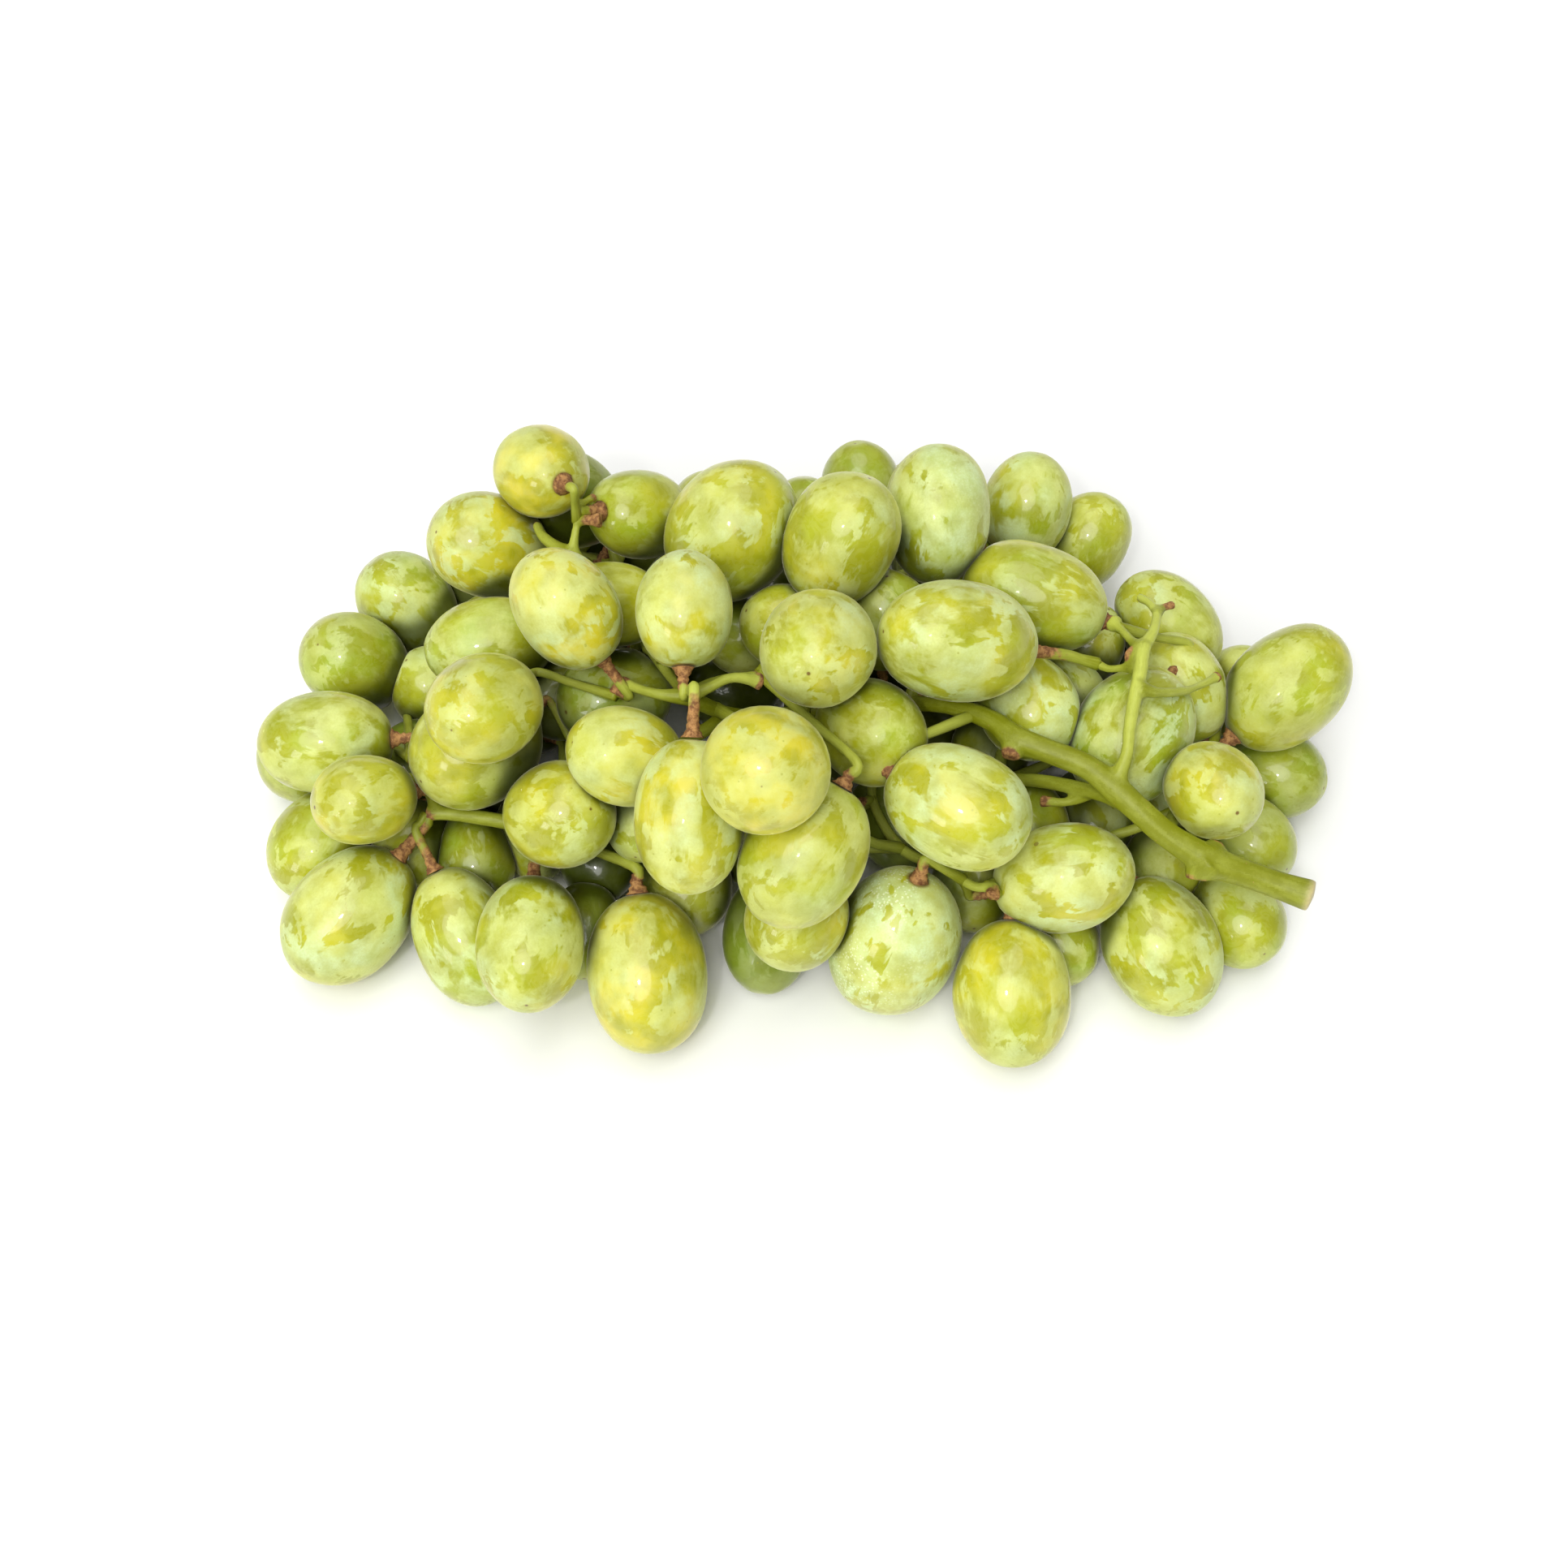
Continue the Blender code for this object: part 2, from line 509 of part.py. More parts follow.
def tube(body, points, radii, sides):
    """Adds a closed round bar along a path."""
    points = [Vector(point) for point in points]
    along = (points[1] - points[0]).normalized()
    side_way = along.orthogonal().normalized()
    rings = []
    for index, point in enumerate(points):
        before = (point - points[index - 1]).normalized() if index else along
        after = (points[index + 1] - point).normalized() if index + 1 < len(points) else before
        facing = (before + after).normalized()
        side_way = (side_way - side_way.dot(facing) * facing).normalized()
        other_way = facing.cross(side_way)
        ring = []
        for side in range(sides):
            turn = 2 * math.pi * side / sides
            ring.append(body.verts.new(point + radii[index] * (math.cos(turn) * side_way + math.sin(turn) * other_way)))
        rings.append(ring)
    for low, high in zip(rings, rings[1:]):
        for side in range(sides):
            nxt = (side + 1) % sides
            body.faces.new((low[side], low[nxt], high[nxt], high[side]))
    body.faces.new(rings[0][::-1])
    body.faces.new(rings[-1])


def into_berries(heap, points, skip):
    """How deep a path runs into berries, its own left out."""
    worst = 0.0
    for one, two in zip(points, points[1:]):
        for share in np.linspace(0, 1, 9):
            point = one + share * (two - one)
            way = point - heap.centre
            apart = np.linalg.norm(way, axis=1)
            deep = reach(heap.axis, heap.wide, heap.long, way / apart[:, None]) + PEDICEL_RADIUS - apart
            deep[skip] = 0
            worst = max(worst, float(deep.max()))
    return worst


def pedicels(heap):
    """Paths from the stalk to the stem ends that can be reached."""
    start, end, radius = heap.rods
    feet = np.concatenate([start + share * (end - start) for share in (0.0, 0.33, 0.67, 1.0)])
    found = {}
    for index, name in enumerate(heap.names):
        axis = heap.axis[index]
        tip = heap.centre[index] - axis * (0.5 * heap.long[index] + NODE_GAP)
        order = np.argsort(np.linalg.norm(feet - tip, axis=1))[:PEDICEL_TRIES]
        best = None
        for foot in feet[order]:
            for stretch in (3.0 * MM, 7.0 * MM):
                path = [foot, tip - axis * (CAP_HEIGHT + stretch), tip - axis * CAP_HEIGHT]
                turn = np.dot(path[1] - path[0], axis) / (np.linalg.norm(path[1] - path[0]) + MM)
                deep = into_berries(heap, path, index)
                length = np.linalg.norm(path[1] - path[0])
                if deep > PEDICEL_SQUEEZE or turn < -0.5 or length > PEDICEL_LONGEST:
                    continue
                if best is None or length < best[0]:
                    best = (length, path + [tip])
            if best:
                break
        if best:
            found[name] = best[1]
    return found


def joined(name, bodies):
    """Fuses bodies into one object."""
    scrap = bpy.data.collections.new(name + "_parts")
    bpy.context.scene.collection.children.link(scrap)
    objects = []
    for index, body in enumerate(bodies):
        bmesh.ops.recalc_face_normals(body, faces=body.faces[:])
        mesh = bpy.data.meshes.new(f"{name}_{index}")
        body.to_mesh(mesh)
        body.free()
        objects.append(bpy.data.objects.new(f"{name}_{index}", mesh))
    whole = objects[0]
    whole.name = name
    bpy.context.scene.collection.objects.link(whole)
    for piece in objects[1:]:
        scrap.objects.link(piece)
    if len(objects) > 1:
        union = whole.modifiers.new("union", "BOOLEAN")
        union.operation = "UNION"
        union.operand_type = "COLLECTION"
        union.collection = scrap
        union.solver = "MANIFOLD"
        graph = bpy.context.evaluated_depsgraph_get()
        mesh = bpy.data.meshes.new_from_object(whole.evaluated_get(graph))
        whole.modifiers.clear()
        whole.data = mesh
    for piece in objects[1:]:
        bpy.data.objects.remove(piece)
    bpy.data.collections.remove(scrap)
    return whole


def finish(made, colour, roughness, shift):
    """Cleans an object's mesh, moves it into the bunch's frame and colours it."""
    body = bmesh.new()
    body.from_mesh(made.data)
    bmesh.ops.remove_doubles(body, verts=body.verts[:], dist=WELD)
    bmesh.ops.dissolve_degenerate(body, edges=body.edges[:], dist=WELD)
    bmesh.ops.triangulate(body, faces=body.faces[:])
    bmesh.ops.translate(body, verts=body.verts[:], vec=shift)
    body.to_mesh(made.data)
    body.free()
    material = bpy.data.materials.new(made.name)
    material.use_nodes = True
    shader = material.node_tree.nodes["Principled BSDF"]
    shader.inputs["Base Color"].default_value = colour
    shader.inputs["Roughness"].default_value = roughness
    shader.inputs["Metallic"].default_value = 0.0
    made.data.materials.clear()
    made.data.materials.append(material)


def pressed(heap, one, two):
    """Tells whether two berries press so far into each other that they need no neck."""
    way = heap.centre[two] - heap.centre[one]
    apart = np.linalg.norm(way)
    way = way / apart
    both = reach(heap.axis[one], heap.wide[one], heap.long[one], way)
    both = both + reach(heap.axis[two], heap.wide[two], heap.long[two], way)
    return apart < NECK_FREE * both


def build_sprays(heap, rods):
    """One fused body of berries for each spray."""
    names, spray, links = share_out(heap)
    made = []
    for index, name in enumerate(names):
        members = np.flatnonzero(spray == index)
        bodies = [berry_body(heap, spray, berry, rods) for berry in members]
        for one, two in links:
            if spray[one] != index or pressed(heap, one, two):
                continue
            neck = bmesh.new()
            tube(neck, [heap.centre[one], heap.centre[two]], [NECK_RADIUS, NECK_RADIUS], NECK_SIDES)
            bodies.append(neck)
        made.append(joined(name, bodies))
    return made


def build_stalk(paths):
    """The stalk with its branches, pedicels and berry caps as one body."""
    bodies = []
    for branch in BRANCHES.values():
        body = bmesh.new()
        points = [spot(column, row, height * MM) for column, row, height, _ in branch]
        tube(body, points, [0.5 * thick * MM for *_, thick in branch], STALK_SIDES)
        bodies.append(body)
    for path in paths.values():
        body = bmesh.new()
        radii = [PEDICEL_RADIUS, PEDICEL_RADIUS, 1.15 * PEDICEL_RADIUS, CAP_RADIUS]
        tube(body, path, radii, PEDICEL_SIDES)
        bodies.append(body)
    return joined("stalk", bodies)


def pedicel_rods(paths):
    """The pedicels as straight stretches, to keep berries clear of them."""
    start, end, radius = [], [], []
    for path in paths.values():
        for one, two in zip(path[:2], path[1:3]):
            start.append(one)
            end.append(two)
            radius.append(PEDICEL_RADIUS)
    return np.array(start), np.array(end), np.array(radius)


def main():
    for old in list(bpy.data.objects):
        bpy.data.objects.remove(old)
    heap = Heap()
    heap.add_seen()
    heap.settle(60)
    heap.add_hidden(random.Random(SEED))
    heap.settle(300)
    paths = pedicels(heap)
    rods = [np.concatenate(pair) for pair in zip(heap.rods, pedicel_rods(paths))]
    berries = build_sprays(heap, rods)
    stalk = build_stalk(paths)
    every = np.array([vert.co for made in berries + [stalk] for vert in made.data.vertices])
    middle = 0.5 * (every.min(axis=0) + every.max(axis=0))
    shift = Vector((-middle[0], -middle[1], 0))
    for made in berries:
        finish(made, SKIN_COLOUR, SKIN_ROUGHNESS, shift)
    finish(stalk, STALK_COLOUR, STALK_ROUGHNESS, shift)


if __name__ == "__main__":
    main()
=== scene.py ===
"""Dresses the bunch of grapes: fine berries with their bloom, the stalk, and a plain studio.

The berries settle by the same readings and the same rule as the solids, so
each fine berry lies where its faceted one does. Metres, +Z up.
"""
from __future__ import annotations

import logging
import math
import random
from dataclasses import dataclass, field
from enum import Enum
from typing import NamedTuple

import bmesh
import bpy
import numpy as np
from mathutils import Matrix, Vector, kdtree, noise

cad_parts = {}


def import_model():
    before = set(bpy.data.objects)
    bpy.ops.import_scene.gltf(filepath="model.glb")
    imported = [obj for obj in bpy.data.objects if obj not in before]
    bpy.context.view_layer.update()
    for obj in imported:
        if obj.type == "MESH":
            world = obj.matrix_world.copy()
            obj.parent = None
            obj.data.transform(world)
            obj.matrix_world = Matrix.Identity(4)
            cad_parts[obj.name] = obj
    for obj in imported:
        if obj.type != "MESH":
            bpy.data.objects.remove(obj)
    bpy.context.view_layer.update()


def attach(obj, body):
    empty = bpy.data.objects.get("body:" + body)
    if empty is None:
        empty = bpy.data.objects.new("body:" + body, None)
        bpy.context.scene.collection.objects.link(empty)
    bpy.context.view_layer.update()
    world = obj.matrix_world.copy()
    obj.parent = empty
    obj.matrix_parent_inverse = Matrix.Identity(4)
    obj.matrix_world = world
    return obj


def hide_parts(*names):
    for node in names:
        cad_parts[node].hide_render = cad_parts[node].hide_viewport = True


LOG = logging.getLogger("grapes")

MM = 0.001
SEED = 11
UP = np.array([0.0, 0.0, 1.0])
BUNCH_MIDDLE = np.array([3.2377, -0.82227, 0.0]) * MM   # of the bunch, where its readings put it

Colour = tuple[float, float, float, float]


class Sight:
    """The line of sight that the readings belong to, and the camera's place."""

    FOCAL = 2613.0                      # picture points
    CENTRE = 966.0
    FRAME = 1932.0
    PITCH = math.radians(57.0)
    RANGE = 470.0 * MM
    LOOK = np.array([0.0, math.cos(PITCH), -math.sin(PITCH)])
    ACROSS = np.array([1.0, 0.0, 0.0])
    ALOFT = np.cross(ACROSS, LOOK)
    EYE = -RANGE * LOOK

    @classmethod
    def spot(cls, column: float, row: float, height: float) -> np.ndarray:
        """Finds the point at a height that is seen at a place of the picture.

        Args:
            column: picture place across.
            row: picture place down.
            height: height above the surface in metres.

        Returns:
            The point, in metres.
        """
        way = cls.LOOK + cls.ACROSS * (column - cls.CENTRE) / cls.FOCAL
        way = way - cls.ALOFT * (row - cls.CENTRE) / cls.FOCAL
        way = way / np.linalg.norm(way)
        return cls.EYE + way * (height - cls.EYE[2]) / way[2]

    @classmethod
    def seen(cls, points: np.ndarray) -> tuple[np.ndarray, np.ndarray]:
        """Finds where points are seen.

        Args:
            points: one point or a row for each, in metres.

        Returns:
            Their places in the picture, and their depths in metres.
        """
        off = np.asarray(points) - cls.EYE
        depth = off @ cls.LOOK
        column = cls.CENTRE + cls.FOCAL * (off @ cls.ACROSS) / depth
        row = cls.CENTRE - cls.FOCAL * (off @ cls.ALOFT) / depth
        return np.stack([column, row], axis=-1), depth


class Reading(NamedTuple):
    """One berry that can be seen: its place, size and turn."""

    column: float     # picture place of its middle
    row: float
    height: float     # mm of its middle above the surface, 0 where it lies on it
    wide: float       # mm across
    long: float       # mm from stem end to tip
    heading: float    # degrees, tip's direction in the picture, 90 is up
    lean: float       # degrees that the tip leans to the eye
    firm: bool        # holds its place; the others give way to it


BERRIES: dict[str, Reading] = {
    "l1": Reading(402, 915, 26, 21.5, 28.5, 183, 0, True),
    "l2": Reading(385, 930, 0, 20.5, 25, 200, 45, False),
    "l3": Reading(450, 985, 34, 18, 22, 190, 35, True),
    "l4": Reading(400, 1052, 0, 20.5, 25.5, 240, 10, False),
    "l5": Reading(431, 1127, 0, 24.5, 32, 230, 0, True),
    "l6": Reading(438, 817, 17, 22, 27, 150, 60, True),
    "l7": Reading(503, 745, 22, 21, 26, 130, 20, False),
    "l8": Reading(597, 872, 54, 21.5, 27, 225, 60, True),
    "l9": Reading(587, 920, 32, 24.5, 29, 215, 30, True),
    "l10": Reading(603, 795, 38, 20, 27, 190, 10, True),
    "l11": Reading(602, 672, 44, 22.5, 28, 170, 45, True),
    "l12": Reading(698, 750, 60, 20.5, 26, 125, 20, True),
    "l13": Reading(668, 582, 56, 19.5, 24, 145, -55, True),
    "l14": Reading(757, 745, 46, 17.5, 23, 180, 20, False),
    "l15": Reading(700, 860, 28, 18, 23, 200, 40, False),
    "l16": Reading(765, 850, 36, 20.5, 26, 200, 40, False),
    "l17": Reading(520, 1058, 0, 17, 22, 260, 30, False),
    "l18": Reading(590, 1045, 0, 17, 22, 280, 30, False),
    "l19": Reading(650, 1040, 0, 17, 22, 280, 30, False),
    "l21": Reading(520, 852, 0, 19, 24, 130, 40, False),
    "l22": Reading(508, 938, 0, 18, 23, 250, 40, False),
    "m1": Reading(788, 634, 46, 19.2, 25, 5, -50, True),
    "m2": Reading(843, 752, 64, 19, 24, 90, -10, True),
    "m3": Reading(902, 655, 54, 26.5, 31.5, 52, 20, True),
    "m4": Reading(1035, 666, 60, 22.5, 29, 64, 25, True),
    "m5": Reading(1155, 635, 54, 22, 30, 90, 0, True),
    "m6": Reading(1062, 605, 38, 18, 23, 100, 30, False),
    "m7": Reading(990, 648, 36, 17.5, 22, 90, 20, False),
    "m8": Reading(1008, 799, 64, 22.5, 28, 250, 65, True),
    "m9": Reading(975, 775, 42, 18, 23, 160, 30, False),
    "m10": Reading(1090, 765, 42, 18.5, 23, 90, 40, False),
    "m11": Reading(1072, 902, 48, 21, 26, 330, 50, True),
    "m12": Reading(943, 948, 56, 24, 25.5, 260, 75, True),
    "m13": Reading(850, 1004, 44, 22, 30.5, 268, 0, True),
    "m14": Reading(770, 932, 48, 19.5, 25, 165, 35, True),
    "m15": Reading(688, 1004, 38, 21.5, 27, 10, 55, True),
    "m16": Reading(990, 1052, 36, 23.5, 30.5, 240, 0, True),
    "m17": Reading(982, 1131, 18, 20.5, 22, 230, 10, True),
    "m18": Reading(946, 1152, 0, 18, 25, 265, 10, False),
    "m19": Reading(843, 1080, 16, 20, 27, 280, 40, False),
    "m20": Reading(1103, 1158, 0, 27, 33, 252, -34, True),
    "m21": Reading(1180, 993, 44, 23, 30, 332, 10, True),
    "m22": Reading(1102, 1012, 20, 18, 23, 300, 20, False),
    "m23": Reading(1180, 790, 60, 24, 34.5, 175, 28, True),
    "m24": Reading(573, 1153, 0, 20.5, 30, 295, 0, True),
    "m25": Reading(653, 1162, 16, 21.5, 29.5, 272, 38, True),
    "m26": Reading(797, 1198, 0, 24.5, 33, 277, 5, True),
    "m27": Reading(736, 1148, 0, 16, 21, 270, 20, False),
    "m28": Reading(795, 1000, 24, 17, 22, 260, 30, False),
    "m29": Reading(925, 780, 34, 17, 22, 200, 30, False),
    "m30": Reading(728, 1062, 0, 17, 22, 270, 30, False),
    "m31": Reading(905, 848, 0, 18, 23, 200, 30, False),
    "r1": Reading(1310, 1082, 30, 22.5, 29, 12, 15, True),
    "r2": Reading(1247, 1222, 0, 23.5, 30.5, 270, 0, True),
    "r3": Reading(1290, 1170, 0, 17, 22, 290, 20, False),
    "r4": Reading(1431, 1165, 0, 23.5, 30, 297, 5, True),
    "r5": Reading(1506, 1122, 0, 19, 24, 300, 45, False),
    "r6": Reading(1440, 1085, 0, 17, 22, 280, 30, False),
    "r7": Reading(1530, 1035, 0, 19, 25, 320, 35, False),
    "r8": Reading(1493, 976, 36, 19, 24, 300, 65, True),
    "r9": Reading(1565, 950, 0, 20, 25, 340, 30, False),
    "r10": Reading(1585, 848, 26, 23.5, 31, 42, 0, True),
    "r11": Reading(1520, 850, 0, 17, 22, 60, 30, False),
    "r12": Reading(1396, 905, 30, 25, 31, 235, 20, True),
    "r13": Reading(1452, 845, 18, 19, 25, 120, 10, False),
    "r14": Reading(1435, 780, 20, 20.5, 27, 135, 10, False),
    "r15": Reading(1312, 858, 22, 17, 22, 300, 30, False),
    "r16": Reading(1265, 868, 36, 20.5, 26, 300, 40, True),
    "r17": Reading(1222, 920, 22, 17, 22, 250, 30, False),
    "r18": Reading(1275, 735, 46, 21.5, 31.5, 160, 0, True),
    "r19": Reading(1350, 1003, 0, 18, 23, 280, 30, False),
    "r20": Reading(1262, 1020, 16, 18, 23, 280, 30, False),
    "r21": Reading(1415, 1010, 0, 17, 22, 300, 30, False),
    "r23": Reading(1200, 1085, 0, 17, 22, 270, 30, False),
    "r24": Reading(1265, 625, 30, 20, 25, 80, 20, False),
    "r25": Reading(1338, 668, 20, 19, 24, 60, 20, False),
    "r26": Reading(1335, 800, 22, 17, 22, 60, 30, False),
    "r27": Reading(1378, 815, 0, 17, 22, 60, 30, False),
}

# Stalk and side branches: picture place, height in mm, thickness in mm
BRANCHES: dict[str, list[tuple[float, float, float, float]]] = {
    "main": [(1616, 1104, 33, 5.9), (1580, 1092, 33, 5.6), (1540, 1078, 34, 5.6), (1490, 1060, 36, 6.4),
             (1440, 1030, 39, 5.2), (1400, 995, 42, 5.2), (1372, 970, 43, 5.9), (1340, 945, 45, 5.0),
             (1290, 925, 46, 4.8), (1250, 910, 46, 5.6), (1225, 890, 46, 4.4), (1190, 875, 45, 3.8),
             (1150, 868, 42, 3.2), (1060, 868, 34, 3.0), (960, 880, 32, 3.0), (900, 880, 38, 3.0),
             (845, 858, 50, 3.6)],
    "knuckle_up": [(1490, 1060, 36, 4.8), (1498, 1044, 35, 4.0)],
    "knuckle_low": [(1492, 1060, 36, 6.0), (1477, 1074, 34, 5.2), (1474, 1084, 33, 4.2)],
    "knuckle_down": [(1250, 910, 46, 4.2), (1245, 934, 45, 3.2)],
    "rise": [(1372, 970, 43, 3.4), (1388, 930, 48, 2.7), (1392, 895, 50, 2.7), (1398, 860, 51, 3.0),
             (1405, 828, 52, 3.0), (1409, 800, 52, 3.0), (1421, 778, 51, 2.3), (1425, 757, 49, 2.0),
             (1416, 743, 47, 1.9), (1403, 736, 45, 1.9)],
    "rise_right": [(1402, 848, 52, 2.4), (1425, 853, 50, 2.2), (1455, 852, 46, 2.1), (1475, 846, 42, 1.7),
                   (1500, 834, 38, 2.0)],
    "rise_left": [(1409, 800, 52, 2.4), (1395, 790, 50, 1.9), (1382, 776, 48, 1.8), (1372, 768, 46, 2.8)],
    "rise_tip": [(1425, 757, 49, 1.7), (1433, 749, 48, 1.5), (1446, 745, 47, 1.7)],
    "rise_low": [(1403, 824, 51, 2.2), (1385, 823, 48, 1.8), (1366, 824, 46, 1.7), (1352, 818, 45, 1.9)],
    "rise_knob": [(1404, 811, 51, 2.0), (1391, 805, 50, 2.3)],
    "under": [(1385, 985, 41, 3.2), (1340, 974, 37, 3.2), (1280, 962, 32, 3.0), (1230, 960, 28, 2.6)],
    "under_twig": [(1345, 976, 36, 2.0), (1318, 988, 34, 1.8), (1282, 987, 32, 2.2)],
    "right_low": [(1440, 1030, 38, 2.8), (1452, 985, 22, 2.4), (1480, 940, 18, 2.3), (1500, 918, 24, 2.2)],
    "wye_right": [(845, 858, 50, 2.6), (872, 848, 52, 2.3), (902, 835, 52, 2.2), (938, 840, 49, 2.6)],
    "wye_strand": [(845, 858, 50, 2.0), (880, 838, 51, 1.6), (936, 830, 49, 1.6)],
    "wye_left": [(845, 858, 50, 2.6), (815, 856, 50, 2.4), (790, 850, 49, 2.2), (766, 840, 47, 2.4)],
    "wye_stub": [(768, 842, 47, 2.2), (760, 858, 46, 2.6)],
    "back": [(845, 858, 50, 2.2), (800, 800, 38, 2.2), (750, 725, 40, 2.2), (710, 682, 50, 2.2),
             (710, 650, 54, 1.8), (712, 624, 56, 1.7)],
    "back_left": [(706, 684, 50, 2.8), (687, 675, 49, 2.8), (669, 661, 48.5, 2.4), (661, 646, 48, 2.0)],
    "back_spur": [(712, 627, 56, 1.5), (720, 619, 56, 1.3), (734, 611, 56, 1.5)],
    "left": [(900, 880, 38, 3.0), (820, 930, 26, 3.0), (740, 980, 20, 3.0), (667, 1020, 20, 3.2),
             (620, 1012, 24, 3.2), (560, 1003, 24, 3.0), (525, 1003, 24, 2.6)],
    "left_up": [(540, 1000, 24, 2.2), (520, 960, 26, 2.0), (507, 935, 27, 1.9)],
    "front": [(1060, 868, 34, 2.6), (1080, 930, 24, 2.4), (1075, 985, 22, 2.2), (1110, 1045, 20, 2.4),
              (1160, 1068, 24, 2.4), (1200, 1092, 26, 2.2), (1224, 1092, 28, 2.2), (1222, 1106, 28, 2.4)],
    "far": [(1060, 868, 34, 2.6), (1060, 800, 28, 2.4), (1090, 720, 30, 2.4), (1180, 690, 28, 2.2),
            (1212, 674, 27, 2.0)],
    "far_low": [(1060, 800, 28, 2.2), (1020, 740, 22, 2.0), (980, 670, 18, 2.0)],
    "back_low": [(800, 800, 38, 2.2), (770, 720, 24, 2.0), (740, 650, 22, 2.0)],
}

# Middles of the sprays: picture place and height in mm
SPRAYS: dict[str, tuple[float, float, float]] = {
    "spray_left_low": (450, 1060, 15),
    "spray_left": (480, 850, 25),
    "spray_front_left": (700, 1110, 15),
    "spray_back_left": (690, 700, 45),
    "spray_front_middle": (950, 1060, 30),
    "spray_back_middle": (1030, 700, 45),
    "spray_front_right": (1290, 1130, 15),
    "spray_right": (1500, 960, 20),
    "spray_back_right": (1270, 760, 40),
}

# Ripeness and bloom of the berries that stand out, each from 0 to 1
LOOKS: dict[str, tuple[float, float]] = {
    "l1": (0.45, 0.55), "l3": (0.72, 0.42), "l5": (0.45, 0.62), "l6": (0.18, 0.35), "l7": (0.22, 0.55),
    "l8": (0.60, 0.42), "l9": (0.42, 0.40), "l10": (0.26, 0.42), "l11": (0.80, 0.62), "l12": (0.88, 0.60),
    "l13": (0.85, 0.45), "l14": (0.30, 0.30), "m1": (0.26, 0.30), "m2": (0.52, 0.62), "m3": (0.46, 0.50),
    "m4": (0.52, 0.45), "m5": (0.42, 0.68), "m6": (0.12, 0.30), "m8": (0.60, 0.55), "m11": (0.34, 0.35),
    "m12": (0.74, 0.36), "m13": (0.62, 0.55), "m14": (0.66, 0.50), "m15": (0.52, 0.45), "m16": (0.42, 0.42),
    "m17": (0.60, 0.50), "m18": (0.02, 0.30), "m19": (0.40, 0.30), "m20": (0.40, 0.82), "m21": (0.46, 0.60),
    "m22": (0.08, 0.40), "m23": (0.46, 0.58), "m24": (0.42, 0.60), "m25": (0.48, 0.55), "m26": (0.84, 0.42),
    "m27": (0.20, 0.30), "r1": (0.48, 0.62), "r2": (0.62, 0.48), "r3": (0.25, 0.40), "r4": (0.42, 0.55),
    "r5": (0.32, 0.35), "r7": (0.12, 0.28), "r8": (0.62, 0.50), "r9": (0.12, 0.28), "r10": (0.36, 0.38),
    "r12": (0.16, 0.62), "r13": (0.34, 0.60), "r14": (0.22, 0.50), "r16": (0.28, 0.70), "r18": (0.28, 0.40),
    "l22": (0.05, 0.25), "m30": (0.03, 0.25), "m31": (0.05, 0.30), "r27": (0.06, 0.35),
}


class End(NamedTuple):
    """The far end of a branch: how brown, over what length in mm, and how swollen."""

    brown: float
    reach: float
    swell: float


PLAIN_END = End(0.25, 3.0, 0.0)
ENDS: dict[str, End] = {
    "knuckle_up": End(0.7, 1.6, 0.05), "knuckle_low": End(0.55, 1.5, 0.0),
    "knuckle_down": End(0.8, 2.4, 0.1),
    "rise": End(0.5, 4.0, 0.1), "rise_right": End(0.62, 4.0, 0.35), "rise_left": End(0.5, 1.6, 0.5),
    "rise_tip": End(0.9, 6.0, 0.25), "rise_low": End(0.45, 3.0, 0.15), "rise_knob": End(0.8, 2.4, 0.3),
    "under": End(0.6, 4.0, 0.2), "under_twig": End(0.9, 4.0, 0.25), "right_low": End(0.5, 4.0, 0.1),
    "wye_right": End(1.0, 2.6, 0.45), "wye_strand": End(0.5, 3.0, 0.0), "wye_left": End(0.9, 3.0, 0.2),
    "wye_stub": End(1.0, 4.0, 0.35), "back": End(1.0, 3.6, 0.2), "back_spur": End(0.85, 3.0, 0.35),
    "back_left": End(0.5, 1.2, 0.1), "back_button": End(1.0, 6.0, 0.5), "back_top": End(1.0, 5.0, 0.5),
    "front": End(1.0, 3.4, 0.5), "left": End(0.7, 4.0, 0.2), "left_up": End(1.0, 7.0, 0.3),
}

# How pale the fresh skin of a branch is, from 0 to 1
PALE: dict[str, float] = {
    "main": 0.06, "knuckle_up": 0.5, "knuckle_low": 0.35, "knuckle_down": 0.4, "under": 0.25, "left": 0.25,
    "front": 0.55, "rise": 0.95, "rise_right": 0.85, "rise_left": 0.9, "wye_left": 0.8, "wye_right": 1.0,
}

# Branches that bear no berries any more
BARE: tuple[str, ...] = ("rise", "rise_right", "rise_tip", "rise_knob", "knuckle_up", "knuckle_low",
                         "knuckle_down", "under_twig", "wye_left", "wye_right")

# Bare twigs too thin for the solids, read as the branches are
BUTTONS: dict[str, list[tuple[float, float, float, float]]] = {
    "back_button": [(711, 640, 55.0, 1.7), (726, 641, 55.8, 1.9), (741, 641, 56.4, 2.5)],
    "back_top": [(712, 626, 56.0, 1.6), (706, 614, 56.6, 1.7), (700, 603, 57.0, 2.6)],
}


def tip_direction(heading: float, lean: float) -> np.ndarray:
    """Gives the way that a berry points.

    Args:
        heading: degrees in the picture, 90 is up.
        lean: degrees that the tip leans to the eye.

    Returns:
        The unit vector from its stem end to its tip.
    """
    turn, tilt = math.radians(heading), math.radians(lean)
    flat = math.cos(turn) * Sight.ACROSS + math.sin(turn) * Sight.ALOFT
    return math.cos(tilt) * flat - math.sin(tilt) * Sight.LOOK


def reach(axis: np.ndarray, wide: np.ndarray, long: np.ndarray, way: np.ndarray) -> np.ndarray:
    """Gives the half-width of egg-shaped berries along a unit direction."""
    lined = np.sum(axis * way, axis=-1)
    return 0.5 * np.sqrt(wide ** 2 * (1 - lined ** 2) + long ** 2 * lined ** 2)


